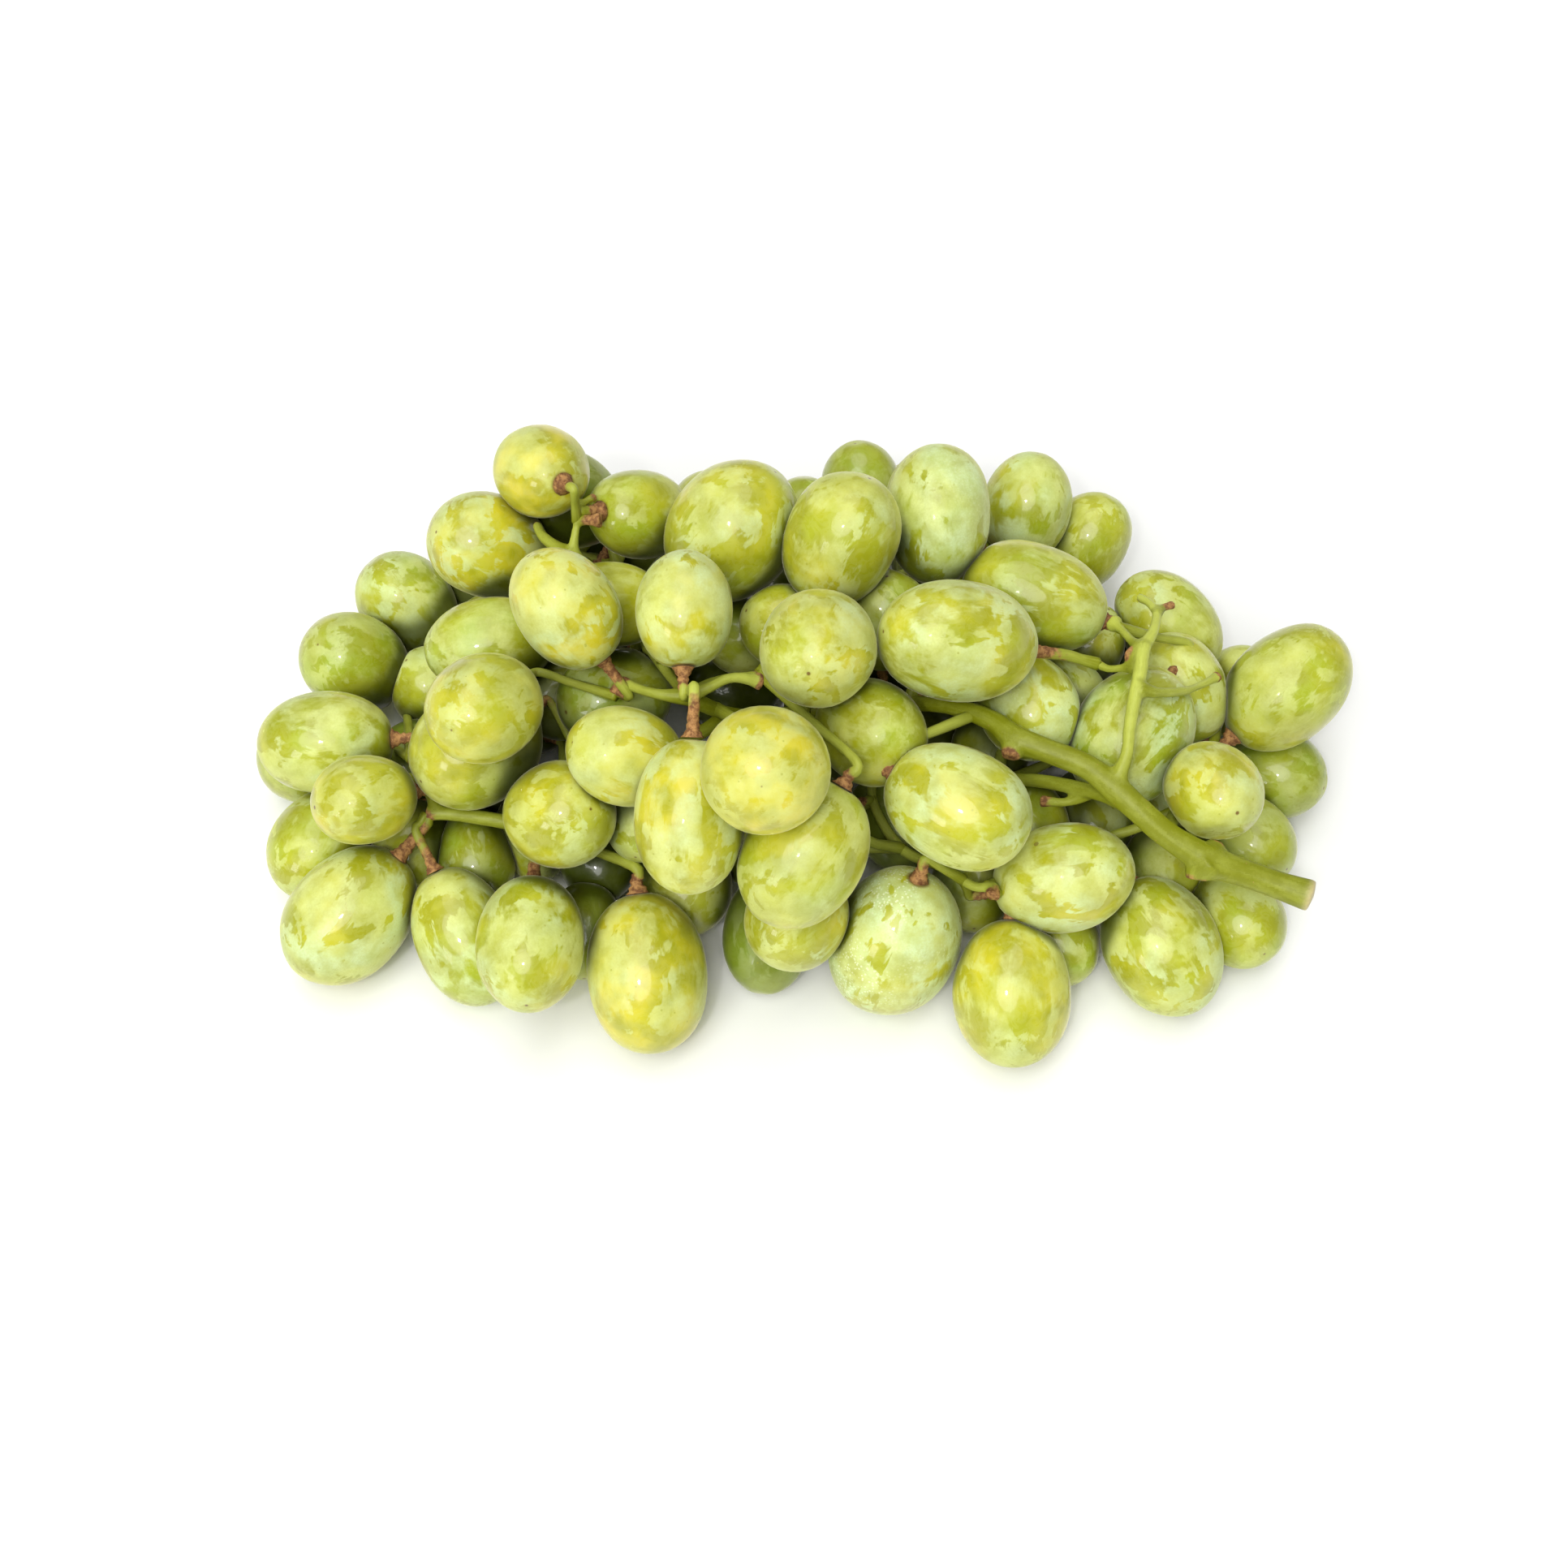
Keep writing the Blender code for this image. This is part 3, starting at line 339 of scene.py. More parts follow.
@dataclass
class Rods:
    """Straight stretches of the stalk: starts, ends, radii and the branch each is of."""

    start: np.ndarray
    end: np.ndarray
    radius: np.ndarray
    owner: list[str]

    @classmethod
    def of_branches(cls) -> "Rods":
        """Builds the stretches from the branch readings.

        Returns:
            The stretches of all branches.
        """
        start, end, radius, owner = [], [], [], []
        for name, path in BRANCHES.items():
            for one, two in zip(path, path[1:]):
                start.append(Sight.spot(one[0], one[1], one[2] * MM))
                end.append(Sight.spot(two[0], two[1], two[2] * MM))
                radius.append(0.25 * (one[3] + two[3]) * MM)
                owner.append(name)
        return cls(np.array(start), np.array(end), np.array(radius), owner)

    def feet(self, point: np.ndarray) -> np.ndarray:
        """Drops a place onto each stretch.

        Args:
            point: the place, in metres.

        Returns:
            The closest point on each stretch.
        """
        along = self.end - self.start
        share = np.sum((point - self.start) * along, axis=1) / np.sum(along ** 2, axis=1)
        return self.start + np.clip(share, 0, 1)[:, None] * along

    def nearest(self, point: np.ndarray) -> tuple[np.ndarray, float]:
        """Finds the stretch whose skin is nearest to a place.

        Args:
            point: the place, in metres.

        Returns:
            The closest point on the stalk's middle line, and the radius there.
        """
        foot = self.feet(point)
        best = int(np.argmin(np.linalg.norm(point - foot, axis=1) - self.radius))
        return foot[best], self.radius[best]


@dataclass
class Heap:
    """All berries of the bunch, settled against each other and the stalk."""

    rods: Rods
    names: list[str] = field(default_factory=list)
    centre: np.ndarray = field(default_factory=lambda: np.zeros((0, 3)))
    home: np.ndarray = field(default_factory=lambda: np.zeros((0, 3)))
    axis: np.ndarray = field(default_factory=lambda: np.zeros((0, 3)))
    wide: np.ndarray = field(default_factory=lambda: np.zeros(0))
    long: np.ndarray = field(default_factory=lambda: np.zeros(0))
    give: np.ndarray = field(default_factory=lambda: np.zeros(0))
    grounded: np.ndarray = field(default_factory=lambda: np.zeros(0, bool))

    press: float = 0.91                 # touching berries are this share of their full spacing
    rest_sink: float = 0.45 * MM        # how far the lowest berries flatten
    node_gap: float = 0.34 * MM         # air between berries and stalk
    seen_rounds: int = 60
    all_rounds: int = 300
    firm_give: float = 0.12             # how readily firm, free and hidden berries give way
    free_give: float = 1.0
    hidden_give: float = 1.6
    firm_keep: float = 0.45             # share of a move aside that firm and free berries keep
    free_keep: float = 0.85
    pace: float = 0.5                   # share of a push that is made in one round
    sag: float = 0.3                    # share of the drop to the surface, in one round
    hidden_step: float = 7.0 * MM
    hidden_spans: tuple[float, float, float] = (250.0 * MM, 170.0 * MM, 70.0 * MM)
    hidden_shake: float = 0.3
    hidden_room: float = 0.88
    hidden_stray: float = 40.0 * MM
    hidden_far: float = 60.0 * MM
    hidden_wide: tuple[float, float] = (18.0, 22.0)
    hidden_stretch: tuple[float, float] = (1.2, 1.35)
    cover_share: float = 0.85
    outline_points: int = 16
    air_cost: float = 12.0              # how much the air between two berries parts them

    def add(self, name: str, centre: np.ndarray, axis: np.ndarray, wide: float, long: float,
            give: float, grounded: bool) -> None:
        """Adds one berry.

        Args:
            name: its name.
            centre: its middle, in metres.
            axis: unit vector from its stem end to its tip.
            wide: metres across.
            long: metres from stem end to tip.
            give: how readily it gives way.
            grounded: whether it lies on the surface.
        """
        self.names.append(name)
        self.centre = np.vstack([self.centre, centre])
        self.home = np.vstack([self.home, centre])
        self.axis = np.vstack([self.axis, axis])
        self.wide = np.append(self.wide, wide)
        self.long = np.append(self.long, long)
        self.give = np.append(self.give, give)
        self.grounded = np.append(self.grounded, grounded)

    def add_seen(self) -> None:
        """Places the berries that were read from the picture."""
        for name, berry in BERRIES.items():
            axis = tip_direction(berry.heading, berry.lean)
            wide, long = berry.wide * MM, berry.long * MM
            height = berry.height * MM
            if berry.height == 0:
                height = float(reach(axis, wide, long, UP))
            centre = Sight.spot(berry.column, berry.row, height)
            give = self.firm_give if berry.firm else self.free_give
            self.add(name, centre, axis, wide, long, give, berry.height == 0)

    def covered(self, point: np.ndarray, radius: float) -> float:
        """Tells how well a ball is hidden.

        Args:
            point: the ball's middle, in metres.
            radius: its radius, in metres.

        Returns:
            The share of its outline that nearer berries hide.
        """
        place, depth = Sight.seen(point)
        size = Sight.FOCAL * radius / depth
        turns = np.linspace(0, 2 * math.pi, self.outline_points, endpoint=False)
        ring = place + size * np.stack([np.cos(turns), np.sin(turns)], axis=-1)
        places, depths = Sight.seen(self.centre)
        sizes = Sight.FOCAL * 0.5 * self.wide / depths
        near = depths < depth - 0.3 * radius
        apart = np.linalg.norm(ring[:, None] - places[None], axis=2)
        return float(np.mean(np.any((apart < sizes[None]) & near[None], axis=1)))

    def add_hidden(self, draw: random.Random) -> None:
        """Fills the inside and the far side with berries out of sight.

        Args:
            draw: the seeded source of their sizes and places.
        """
        steps = [int(span / self.hidden_step) for span in self.hidden_spans]
        places = [(i, j, k) for k in range(steps[2]) for j in range(steps[1]) for i in range(steps[0])]
        count = 0
        for place in places:
            shake = np.array([draw.uniform(-self.hidden_shake, self.hidden_shake) for _ in range(3)])
            wide = draw.uniform(*self.hidden_wide) * MM
            long = wide * draw.uniform(*self.hidden_stretch)
            point = (np.array(place) + shake) * self.hidden_step
            point += np.array([-0.5 * self.hidden_spans[0], -0.4 * self.hidden_spans[1], 0.55 * wide])
            point[2] = max(point[2], 0.55 * wide)
            apart = np.linalg.norm(self.centre - point, axis=1)
            crowded = np.any(apart < self.hidden_room * 0.5 * (self.wide + wide))
            if point[1] > self.hidden_far or crowded:
                continue
            foot, thick = self.rods.nearest(point)
            off = np.linalg.norm(point - foot)
            if off < 0.42 * wide + thick or off > self.hidden_stray:
                continue
            if self.covered(point, 0.5 * wide) < self.cover_share:
                continue
            count += 1
            self.add(f"h{count}", point, (point - foot) / off, wide, long, self.hidden_give,
                     point[2] < 0.7 * wide)

    def pairs(self) -> tuple[np.ndarray, np.ndarray, np.ndarray, np.ndarray]:
        """Pairs every berry with every other.

        Returns:
            The first and second berry of each pair, the unit vector between them,
            and how far they overlap in metres.
        """
        first, second = np.triu_indices(len(self.centre), 1)
        way = self.centre[second] - self.centre[first]
        apart = np.linalg.norm(way, axis=1)
        way = way / apart[:, None]
        both = reach(self.axis[first], self.wide[first], self.long[first], way)
        both = both + reach(self.axis[second], self.wide[second], self.long[second], way)
        return first, second, way, self.press * both - apart

    def rod_pushes(self) -> np.ndarray:
        """Works out how far each berry has to move off the stalk.

        Returns:
            One move for each berry, in metres.
        """
        move = np.zeros_like(self.centre)
        for k, point in enumerate(self.centre):
            way = point - self.rods.feet(point)
            apart = np.linalg.norm(way, axis=1)
            way = way / apart[:, None]
            need = reach(self.axis[k], self.wide[k], self.long[k], way)
            need = need + self.rods.radius + self.node_gap - apart
            worst = int(np.argmax(need))
            if need[worst] > 0:
                move[k] = way[worst] * need[worst]
        return move

    def settle(self, rounds: int) -> None:
        """Moves berries apart, the seen ones mainly along their lines of sight.

        Args:
            rounds: how many times all of them are moved.
        """
        hidden = np.array([name.startswith("h") for name in self.names])
        sights = self.home - Sight.EYE
        sights = sights / np.linalg.norm(sights, axis=1)[:, None]
        low = reach(self.axis, self.wide, self.long, UP) - self.rest_sink
        seen_keep = np.where(self.give < self.free_give, self.firm_keep, self.free_keep)
        keep = np.where(hidden, 1.0, seen_keep)[:, None]
        for _ in range(rounds):
            first, second, way, lap = self.pairs()
            hit = lap > 0
            first, second, way, lap = first[hit], second[hit], way[hit], lap[hit]
            part = self.give[first] / (self.give[first] + self.give[second])
            move = np.zeros_like(self.centre)
            np.add.at(move, first, -(part * lap)[:, None] * way)
            np.add.at(move, second, ((1 - part) * lap)[:, None] * way)
            self.centre = self.centre + self.pace * move + self.pace * self.rod_pushes()
            off = self.centre - self.home
            along = np.sum(off * sights, axis=1)[:, None] * sights
            aside = (off - along) * keep
            self.centre = self.home + along + aside
            sag = np.where(self.grounded, self.sag * (self.centre[:, 2] - low), 0)
            self.centre[:, 2] = np.maximum(self.centre[:, 2] - sag, low)

    def share_out(self) -> np.ndarray:
        """Gives every berry to a spray, growing each spray from touch to touch.

        Returns:
            For each berry, the number of its spray in SPRAYS.
        """
        middles = [Sight.spot(column, row, height * MM) for column, row, height in SPRAYS.values()]
        first, second, _, lap = self.pairs()
        air = np.full((len(self.names), len(self.names)), np.inf)
        air[first, second] = -lap
        air[second, first] = -lap
        spray = np.full(len(self.names), -1)
        for index, middle in enumerate(middles):
            away = np.linalg.norm(self.centre - middle, axis=1)
            away[spray >= 0] = np.inf
            spray[int(np.argmin(away))] = index
        while np.any(spray < 0):
            inside, outside = np.flatnonzero(spray >= 0), np.flatnonzero(spray < 0)
            cost = np.clip(air[np.ix_(inside, outside)], 0, None) * self.air_cost
            for place, berry in enumerate(inside):
                away = np.linalg.norm(self.centre[outside] - middles[spray[berry]], axis=1)
                cost[place] += away
            one, two = np.unravel_index(int(np.argmin(cost)), cost.shape)
            spray[outside[two]] = spray[inside[one]]
        return spray


# Values on each point of a berry, read by its skin; the last is the painted shade between berries
SKIN_VALUES: tuple[str, ...] = ("from_tip", "from_stem", "ripe", "bloom", "nook")


class Sheet:
    """Builds a node tree: short calls that add nodes and join their sockets."""

    def __init__(self, tree: bpy.types.NodeTree) -> None:
        """Keeps the tree."""
        self.tree = tree

    def add(self, kind: str, **settings: object) -> bpy.types.Node:
        """Adds a node and sets its properties.

        Args:
            kind: the node's type.
            settings: its properties.

        Returns:
            The node.
        """
        node = self.tree.nodes.new(kind)
        for name, value in settings.items():
            setattr(node, name, value)
        return node

    def wire(self, source: object, target: bpy.types.NodeSocket) -> None:
        """Joins a socket to a target, or sets the target's own value.

        Args:
            source: a socket, a number or a colour.
            target: the socket that takes it.
        """
        if isinstance(source, bpy.types.NodeSocket):
            self.tree.links.new(source, target)
        else:
            target.default_value = source

    def read(self, name: str, vector: bool = False) -> bpy.types.NodeSocket:
        """Reads an attribute of the piece."""
        node = self.add("ShaderNodeAttribute", attribute_name=name)
        return node.outputs["Vector" if vector else "Fac"]

    def math(self, operation: str, one: object, two: object = 0.0,
             clamp: bool = False) -> bpy.types.NodeSocket:
        """Reckons with two values.

        Args:
            operation: what is done with them.
            one: the first, a socket or a number.
            two: the second.
            clamp: whether the result stays between 0 and 1.

        Returns:
            The result.
        """
        node = self.add("ShaderNodeMath", operation=operation, use_clamp=clamp)
        self.wire(one, node.inputs[0])
        self.wire(two, node.inputs[1])
        return node.outputs[0]

    def ramp(self, value: object, low: float, high: float, to_low: float = 0.0,
             to_high: float = 1.0) -> bpy.types.NodeSocket:
        """Maps a range smoothly onto another.

        Args:
            value: a socket or a number.
            low: start of the range.
            high: end of the range.
            to_low: what the start becomes.
            to_high: what the end becomes.

        Returns:
            The result.
        """
        node = self.add("ShaderNodeMapRange", interpolation_type="SMOOTHSTEP")
        limits = {"From Min": low, "From Max": high, "To Min": to_low, "To Max": to_high}
        for name, number in limits.items():
            node.inputs[name].default_value = number
        self.wire(value, node.inputs["Value"])
        return node.outputs["Result"]

    def noise(self, place: object, scale: float, detail: float = 2.0, rough: float = 0.5,
              twist: float = 0.0) -> bpy.types.NodeSocket:
        """Adds a noise that reads a place.

        Args:
            place: where it is read.
            scale: how fine it is.
            detail: how many finer layers it has.
            rough: how strong these are.
            twist: how far it is drawn out of shape.

        Returns:
            The noise, from 0 to 1.
        """
        node = self.add("ShaderNodeTexNoise")
        settings = {"Scale": scale, "Detail": detail, "Roughness": rough, "Distortion": twist}
        for name, number in settings.items():
            node.inputs[name].default_value = number
        self.wire(place, node.inputs["Vector"])
        return node.outputs["Fac"]

    def blend(self, share: object, one: object, two: object) -> bpy.types.NodeSocket:
        """Mixes two colours.

        Args:
            share: share of the second.
            one: the first.
            two: the second.

        Returns:
            The mixed colour.
        """
        node = self.add("ShaderNodeMix", data_type="RGBA")
        self.wire(share, node.inputs["Factor"])
        self.wire(one, node.inputs["A"])
        self.wire(two, node.inputs["B"])
        return node.outputs["Result"]

    def stretch(self, place: object, scale: tuple[float, float, float]) -> bpy.types.NodeSocket:
        """Scales a place unevenly.

        Args:
            place: the place.
            scale: the factor along each axis.

        Returns:
            The scaled place.
        """
        node = self.add("ShaderNodeMapping")
        node.inputs["Scale"].default_value = scale
        self.wire(place, node.inputs["Vector"])
        return node.outputs["Vector"]

    def group(self, tree: bpy.types.NodeTree, **values: object) -> bpy.types.Node:
        """Places a node group with its own values.

        Args:
            tree: the group.
            values: a socket or a number for each of its inputs.

        Returns:
            The node.
        """
        node = self.add("ShaderNodeGroup", node_tree=tree)
        for name, value in values.items():
            self.wire(value, node.inputs[name])
        return node

    def bump(self, height: object, strength: float, depth: float) -> bpy.types.NodeSocket:
        """Turns a height into a normal.

        Args:
            height: the height.
            strength: share of it that shows.
            depth: metres that a height of 1 stands for.

        Returns:
            The normal.
        """
        node = self.add("ShaderNodeBump")
        node.inputs["Strength"].default_value = strength
        node.inputs["Distance"].default_value = depth
        self.wire(height, node.inputs["Height"])
        return node.outputs["Normal"]


def specks_group() -> bpy.types.NodeTree:
    """Builds the shared group of sparse small specks, used on skin and stalk.

    Returns:
        The group, with inputs Place, Scale, Size and Share and the output Mask.
    """
    tree = bpy.data.node_groups.new("specks", "ShaderNodeTree")
    tree.interface.new_socket("Place", in_out="INPUT", socket_type="NodeSocketVector")
    for name in ("Scale", "Size", "Share"):
        tree.interface.new_socket(name, in_out="INPUT", socket_type="NodeSocketFloat")
    tree.interface.new_socket("Mask", in_out="OUTPUT", socket_type="NodeSocketFloat")
    sheet = Sheet(tree)
    given = sheet.add("NodeGroupInput")
    cells = sheet.add("ShaderNodeTexVoronoi")
    sheet.wire(given.outputs["Place"], cells.inputs["Vector"])
    sheet.wire(given.outputs["Scale"], cells.inputs["Scale"])
    near = sheet.math("LESS_THAN", cells.outputs["Distance"], given.outputs["Size"])
    picked = sheet.add("ShaderNodeSeparateColor")
    sheet.wire(cells.outputs["Color"], picked.inputs["Color"])
    kept = sheet.math("LESS_THAN", picked.outputs["Red"], given.outputs["Share"])
    result = sheet.add("NodeGroupOutput")
    sheet.wire(sheet.math("MULTIPLY", near, kept), result.inputs["Mask"])
    return tree


@dataclass(frozen=True)
class SkinFinish:
    """The berries' skin: green to yellow, with waxy bloom that is partly wiped off."""

    green: Colour = (0.31, 0.42, 0.018, 1.0)
    yellow: Colour = (0.72, 0.62, 0.030, 1.0)
    deep: Colour = (0.30, 0.31, 0.004, 1.0)
    wax: Colour = (0.68, 0.74, 0.27, 1.0)
    mint: Colour = (0.64, 0.77, 0.41, 1.0)
    moss: Colour = (0.085, 0.130, 0.018, 1.0)
    brown: Colour = (0.16, 0.075, 0.012, 1.0)
    # Colour of the painted shade between berries
    shade: Colour = (0.030, 0.042, 0.001, 1.0)
    rime: Colour = (0.86, 0.90, 0.68, 1.0)
    coat_rough: float = 0.07
    bend: float = 1.42
    sheen: float = 0.30
    sheen_rough: float = 0.24
    sheen_tint: Colour = (1.0, 0.97, 0.66, 1.0)
    inner: float = 0.20
    inner_reach: tuple[float, float, float] = (1.0, 0.85, 0.2)
    inner_scale: float = 4.0 * MM
    bump_strength: float = 0.16
    bump_depth: float = 0.25 * MM

    def tint(self, sheet: Sheet,
             specks: bpy.types.NodeTree) -> tuple[bpy.types.NodeSocket, bpy.types.NodeSocket]:
        """Builds the colour of the skin, with painted shade between berries.

        Args:
            sheet: the material's nodes.
            specks: the shared group of small specks.

        Returns:
            The colour, and how much bloom lies on it.
        """
        skin = sheet.read("skin", vector=True)
        ripe, bloom = sheet.read("ripe"), sheet.read("bloom")
        tip, stem = sheet.read("from_tip"), sheet.read("from_stem")

        # Green to yellow
        drift = sheet.noise(skin, 60.0, 2.0)
        tone = sheet.math("ADD", ripe, sheet.ramp(drift, 0.3, 0.7, -0.25, 0.25), clamp=True)
        base = sheet.blend(tone, self.green, self.yellow)

        # Patches of bloom, crisp in some places and smeared in others
        patch = sheet.noise(skin, 105.0, 3.0, 0.5, 0.9)
        wipes = sheet.noise(sheet.stretch(skin, (1.0, 1.0, 0.34)), 400.0, 3.0, 0.62, 0.6)
        level = sheet.math("ADD", sheet.math("MULTIPLY", patch, 0.66),
                           sheet.math("MULTIPLY", wipes, 0.34))
        level = sheet.math("ADD", level,
                           sheet.math("MULTIPLY", sheet.math("SUBTRACT", bloom, 0.62), 0.16))
        crisp, smeared = sheet.ramp(level, 0.450, 0.490), sheet.ramp(level, 0.41, 0.55)
        where = sheet.ramp(sheet.noise(skin, 85.0, 1.5), 0.44, 0.56)
        coated = sheet.math("ADD", sheet.math("MULTIPLY", crisp, where),
                            sheet.math("MULTIPLY", smeared, sheet.math("SUBTRACT", 1.0, where)))
        grain = sheet.ramp(sheet.noise(skin, 2400.0, 1.5), 0.25, 0.75, 0.80, 1.0)
        cloud = sheet.ramp(sheet.noise(skin, 190.0, 3.0, 0.55), 0.30, 0.70, 0.38, 1.0)
        wax = sheet.math("MULTIPLY", sheet.math("MULTIPLY", coated, grain), cloud)

        # Bare skin below, yellowish to minty bloom above
        darker = sheet.ramp(sheet.noise(skin, 150.0, 2.0), 0.35, 0.65, 0.15, 0.75)
        bare = sheet.blend(darker, base, self.deep)
        cooler = sheet.ramp(sheet.noise(skin, 70.0, 2.0), 0.35, 0.65, -0.3, 0.3)
        coolness = sheet.math("ADD", bloom, cooler)
        coat = sheet.blend(sheet.ramp(coolness, 0.35, 0.95), self.wax, self.mint)
        dense = sheet.ramp(bloom, 0.2, 0.85, 0.50, 1.0)
        tint = sheet.blend(sheet.math("MULTIPLY", wax, dense), bare, coat)
        veins = sheet.ramp(sheet.noise(skin, 420.0, 3.0, 0.6, 1.6), 0.44, 0.52, 0.0, 0.08)
        tint = sheet.blend(veins, tint, self.wax)

        # Frosty specks where the bloom is thickest
        frost = sheet.group(specks, Place=skin, Scale=1500.0, Size=0.34, Share=0.8).outputs["Mask"]
        thick = sheet.math("MULTIPLY", coated, sheet.ramp(sheet.noise(skin, 55.0, 1.5), 0.42, 0.56))
        frost = sheet.math("MULTIPLY", sheet.math("MULTIPLY", frost, thick),
                           sheet.ramp(bloom, 0.62, 0.85, 0.0, 0.5))
        tint = sheet.blend(frost, tint, self.rime)

        # Unripe berries, dots and scars
        tint = sheet.blend(sheet.ramp(ripe, 0.0, 0.2, 0.55, 0.0), tint, self.moss)
        dots = sheet.group(specks, Place=skin, Scale=420.0, Size=0.10, Share=0.30)
        tint = sheet.blend(sheet.math("MULTIPLY", dots.outputs["Mask"], 0.45), tint, self.deep)
        drawn = sheet.stretch(skin, (1.0, 0.4, 1.0))
        scars = sheet.group(specks, Place=drawn, Scale=130.0, Size=0.07, Share=0.07)
        tint = sheet.blend(sheet.math("MULTIPLY", scars.outputs["Mask"], 0.6), tint, self.brown)

        # Both ends, and painted shade between berries, darkest where others shut a point in
        halo = sheet.ramp(tip, 0.8, 3.0, 0.22, 0.0)
        tint = sheet.blend(halo, tint, self.wax)
        tint = sheet.blend(sheet.ramp(tip, 0.30, 0.62, 0.9, 0.0), tint, self.brown)
        tint = sheet.blend(sheet.ramp(stem, 2.0, 2.9, 0.75, 0.0), tint, self.brown)
        tint = sheet.blend(sheet.ramp(sheet.read("nook"), 0.0, 0.9, 0.0, 0.85), tint, self.shade)
        return tint, wax

    def material(self, specks: bpy.types.NodeTree) -> bpy.types.Material:
        """Builds the skin material.

        Args:
            specks: the shared group of small specks.

        Returns:
            The material, which reads the values on a spray's points.
        """
        made = bpy.data.materials.new("grape_skin")
        made.use_nodes = True
        sheet = Sheet(made.node_tree)
        shader = made.node_tree.nodes["Principled BSDF"]
        tint, wax = self.tint(sheet, specks)
        sheet.wire(tint, shader.inputs["Base Color"])
        sheet.wire(sheet.ramp(wax, 0.0, 0.8, 0.36, 0.52), shader.inputs["Roughness"])
        sheet.wire(sheet.ramp(wax, 0.0, 0.6, 0.60, 0.12), shader.inputs["Coat Weight"])
        shader.inputs["Coat Roughness"].default_value = self.coat_rough
        shader.inputs["IOR"].default_value = self.bend
        shader.inputs["Sheen Weight"].default_value = self.sheen
        shader.inputs["Sheen Roughness"].default_value = self.sheen_rough
        shader.inputs["Sheen Tint"].default_value = self.sheen_tint
        shader.inputs["Subsurface Weight"].default_value = self.inner
        shader.inputs["Subsurface Radius"].default_value = self.inner_reach
        shader.inputs["Subsurface Scale"].default_value = self.inner_scale
        fine = sheet.noise(sheet.read("skin", vector=True), 900.0, 2.0)
        height = sheet.math("ADD", sheet.math("MULTIPLY", wax, 0.35), sheet.math("MULTIPLY", fine, 0.5))
        normal = sheet.bump(height, self.bump_strength, self.bump_depth)
        sheet.wire(normal, shader.inputs["Normal"])
        return made


@dataclass(frozen=True)
class StalkFinish:
    """The stalk's skin: yellow-green and fibrous, brown and corky at its ends."""

    green: Colour = (0.205, 0.225, 0.003, 1.0)
    pale: Colour = (0.50, 0.55, 0.090, 1.0)
    brown: Colour = (0.45, 0.235, 0.080, 1.0)
    dark: Colour = (0.17, 0.068, 0.024, 1.0)
    cut: Colour = (0.66, 0.55, 0.30, 1.0)
    gloss: float = 0.35
    inner: float = 0.08
    inner_reach: tuple[float, float, float] = (1.0, 0.9, 0.3)
    inner_scale: float = 1.5 * MM
    bump_strength: float = 0.4
    bump_depth: float = 0.3 * MM

    def material(self, specks: bpy.types.NodeTree) -> bpy.types.Material:
        """Builds the stalk material.

        Args:
            specks: the shared group of small specks.

        Returns:
            The material, which reads the attributes of the stalk.
        """
        made = bpy.data.materials.new("grape_stalk")
        made.use_nodes = True
        sheet = Sheet(made.node_tree)
        shader = made.node_tree.nodes["Principled BSDF"]
        place = sheet.add("ShaderNodeTexCoord").outputs["Object"]
        grain = sheet.read("grain", vector=True)
        brown, cut = sheet.read("brown"), sheet.read("cut")
        fibre = sheet.noise(grain, 1.0, 3.0, 0.6, 0.3)
        mottle = sheet.noise(place, 260.0, 3.0, 0.6)
        light = sheet.ramp(sheet.math("ADD", sheet.math("MULTIPLY", fibre, 0.55),
                                      sheet.math("MULTIPLY", mottle, 0.45)), 0.36, 0.66, -0.12, 0.16)
        light = sheet.math("ADD", light, sheet.read("pale"), clamp=True)
        tint = sheet.blend(light, self.green, self.pale)
        dots = sheet.group(specks, Place=place, Scale=620.0, Size=0.10, Share=0.22)
        tint = sheet.blend(sheet.math("MULTIPLY", dots.outputs["Mask"], 0.5), tint, self.brown)
        crumbs = sheet.ramp(sheet.noise(place, 900.0, 3.0, 0.65), 0.35, 0.65)
        cork = sheet.blend(crumbs, self.dark, self.brown)
        edge = sheet.math("ADD", brown, sheet.ramp(mottle, 0.3, 0.7, -0.22, 0.22))
        tint = sheet.blend(sheet.ramp(edge, 0.35, 0.65), tint, cork)
        tint = sheet.blend(cut, tint, self.cut)
        sheet.wire(tint, shader.inputs["Base Color"])
        sheet.wire(sheet.ramp(edge, 0.3, 0.7, 0.46, 0.78), shader.inputs["Roughness"])
        shader.inputs["Specular IOR Level"].default_value = self.gloss
        shader.inputs["Subsurface Weight"].default_value = self.inner
        shader.inputs["Subsurface Radius"].default_value = self.inner_reach
        shader.inputs["Subsurface Scale"].default_value = self.inner_scale
        height = sheet.math("ADD", sheet.math("MULTIPLY", fibre, 0.6), sheet.math("MULTIPLY", mottle, 0.4))
        normal = sheet.bump(height, self.bump_strength, self.bump_depth)
        sheet.wire(normal, shader.inputs["Normal"])
        return made


def gathered(name: str, shells: list[bmesh.types.BMesh]) -> bpy.types.Mesh:
    """Gathers shells into one mesh, with their values.

    Args:
        name: the mesh's name.
        shells: the shells, freed as they are taken in.

    Returns:
        The mesh.
    """
    whole = bmesh.new()
    carrier = bpy.data.meshes.new(name + "_carrier")
    for shell in shells:
        shell.to_mesh(carrier)
        shell.free()
        whole.from_mesh(carrier)
    bpy.data.meshes.remove(carrier)
    mesh = bpy.data.meshes.new(name)
    whole.to_mesh(mesh)
    whole.free()
    return mesh


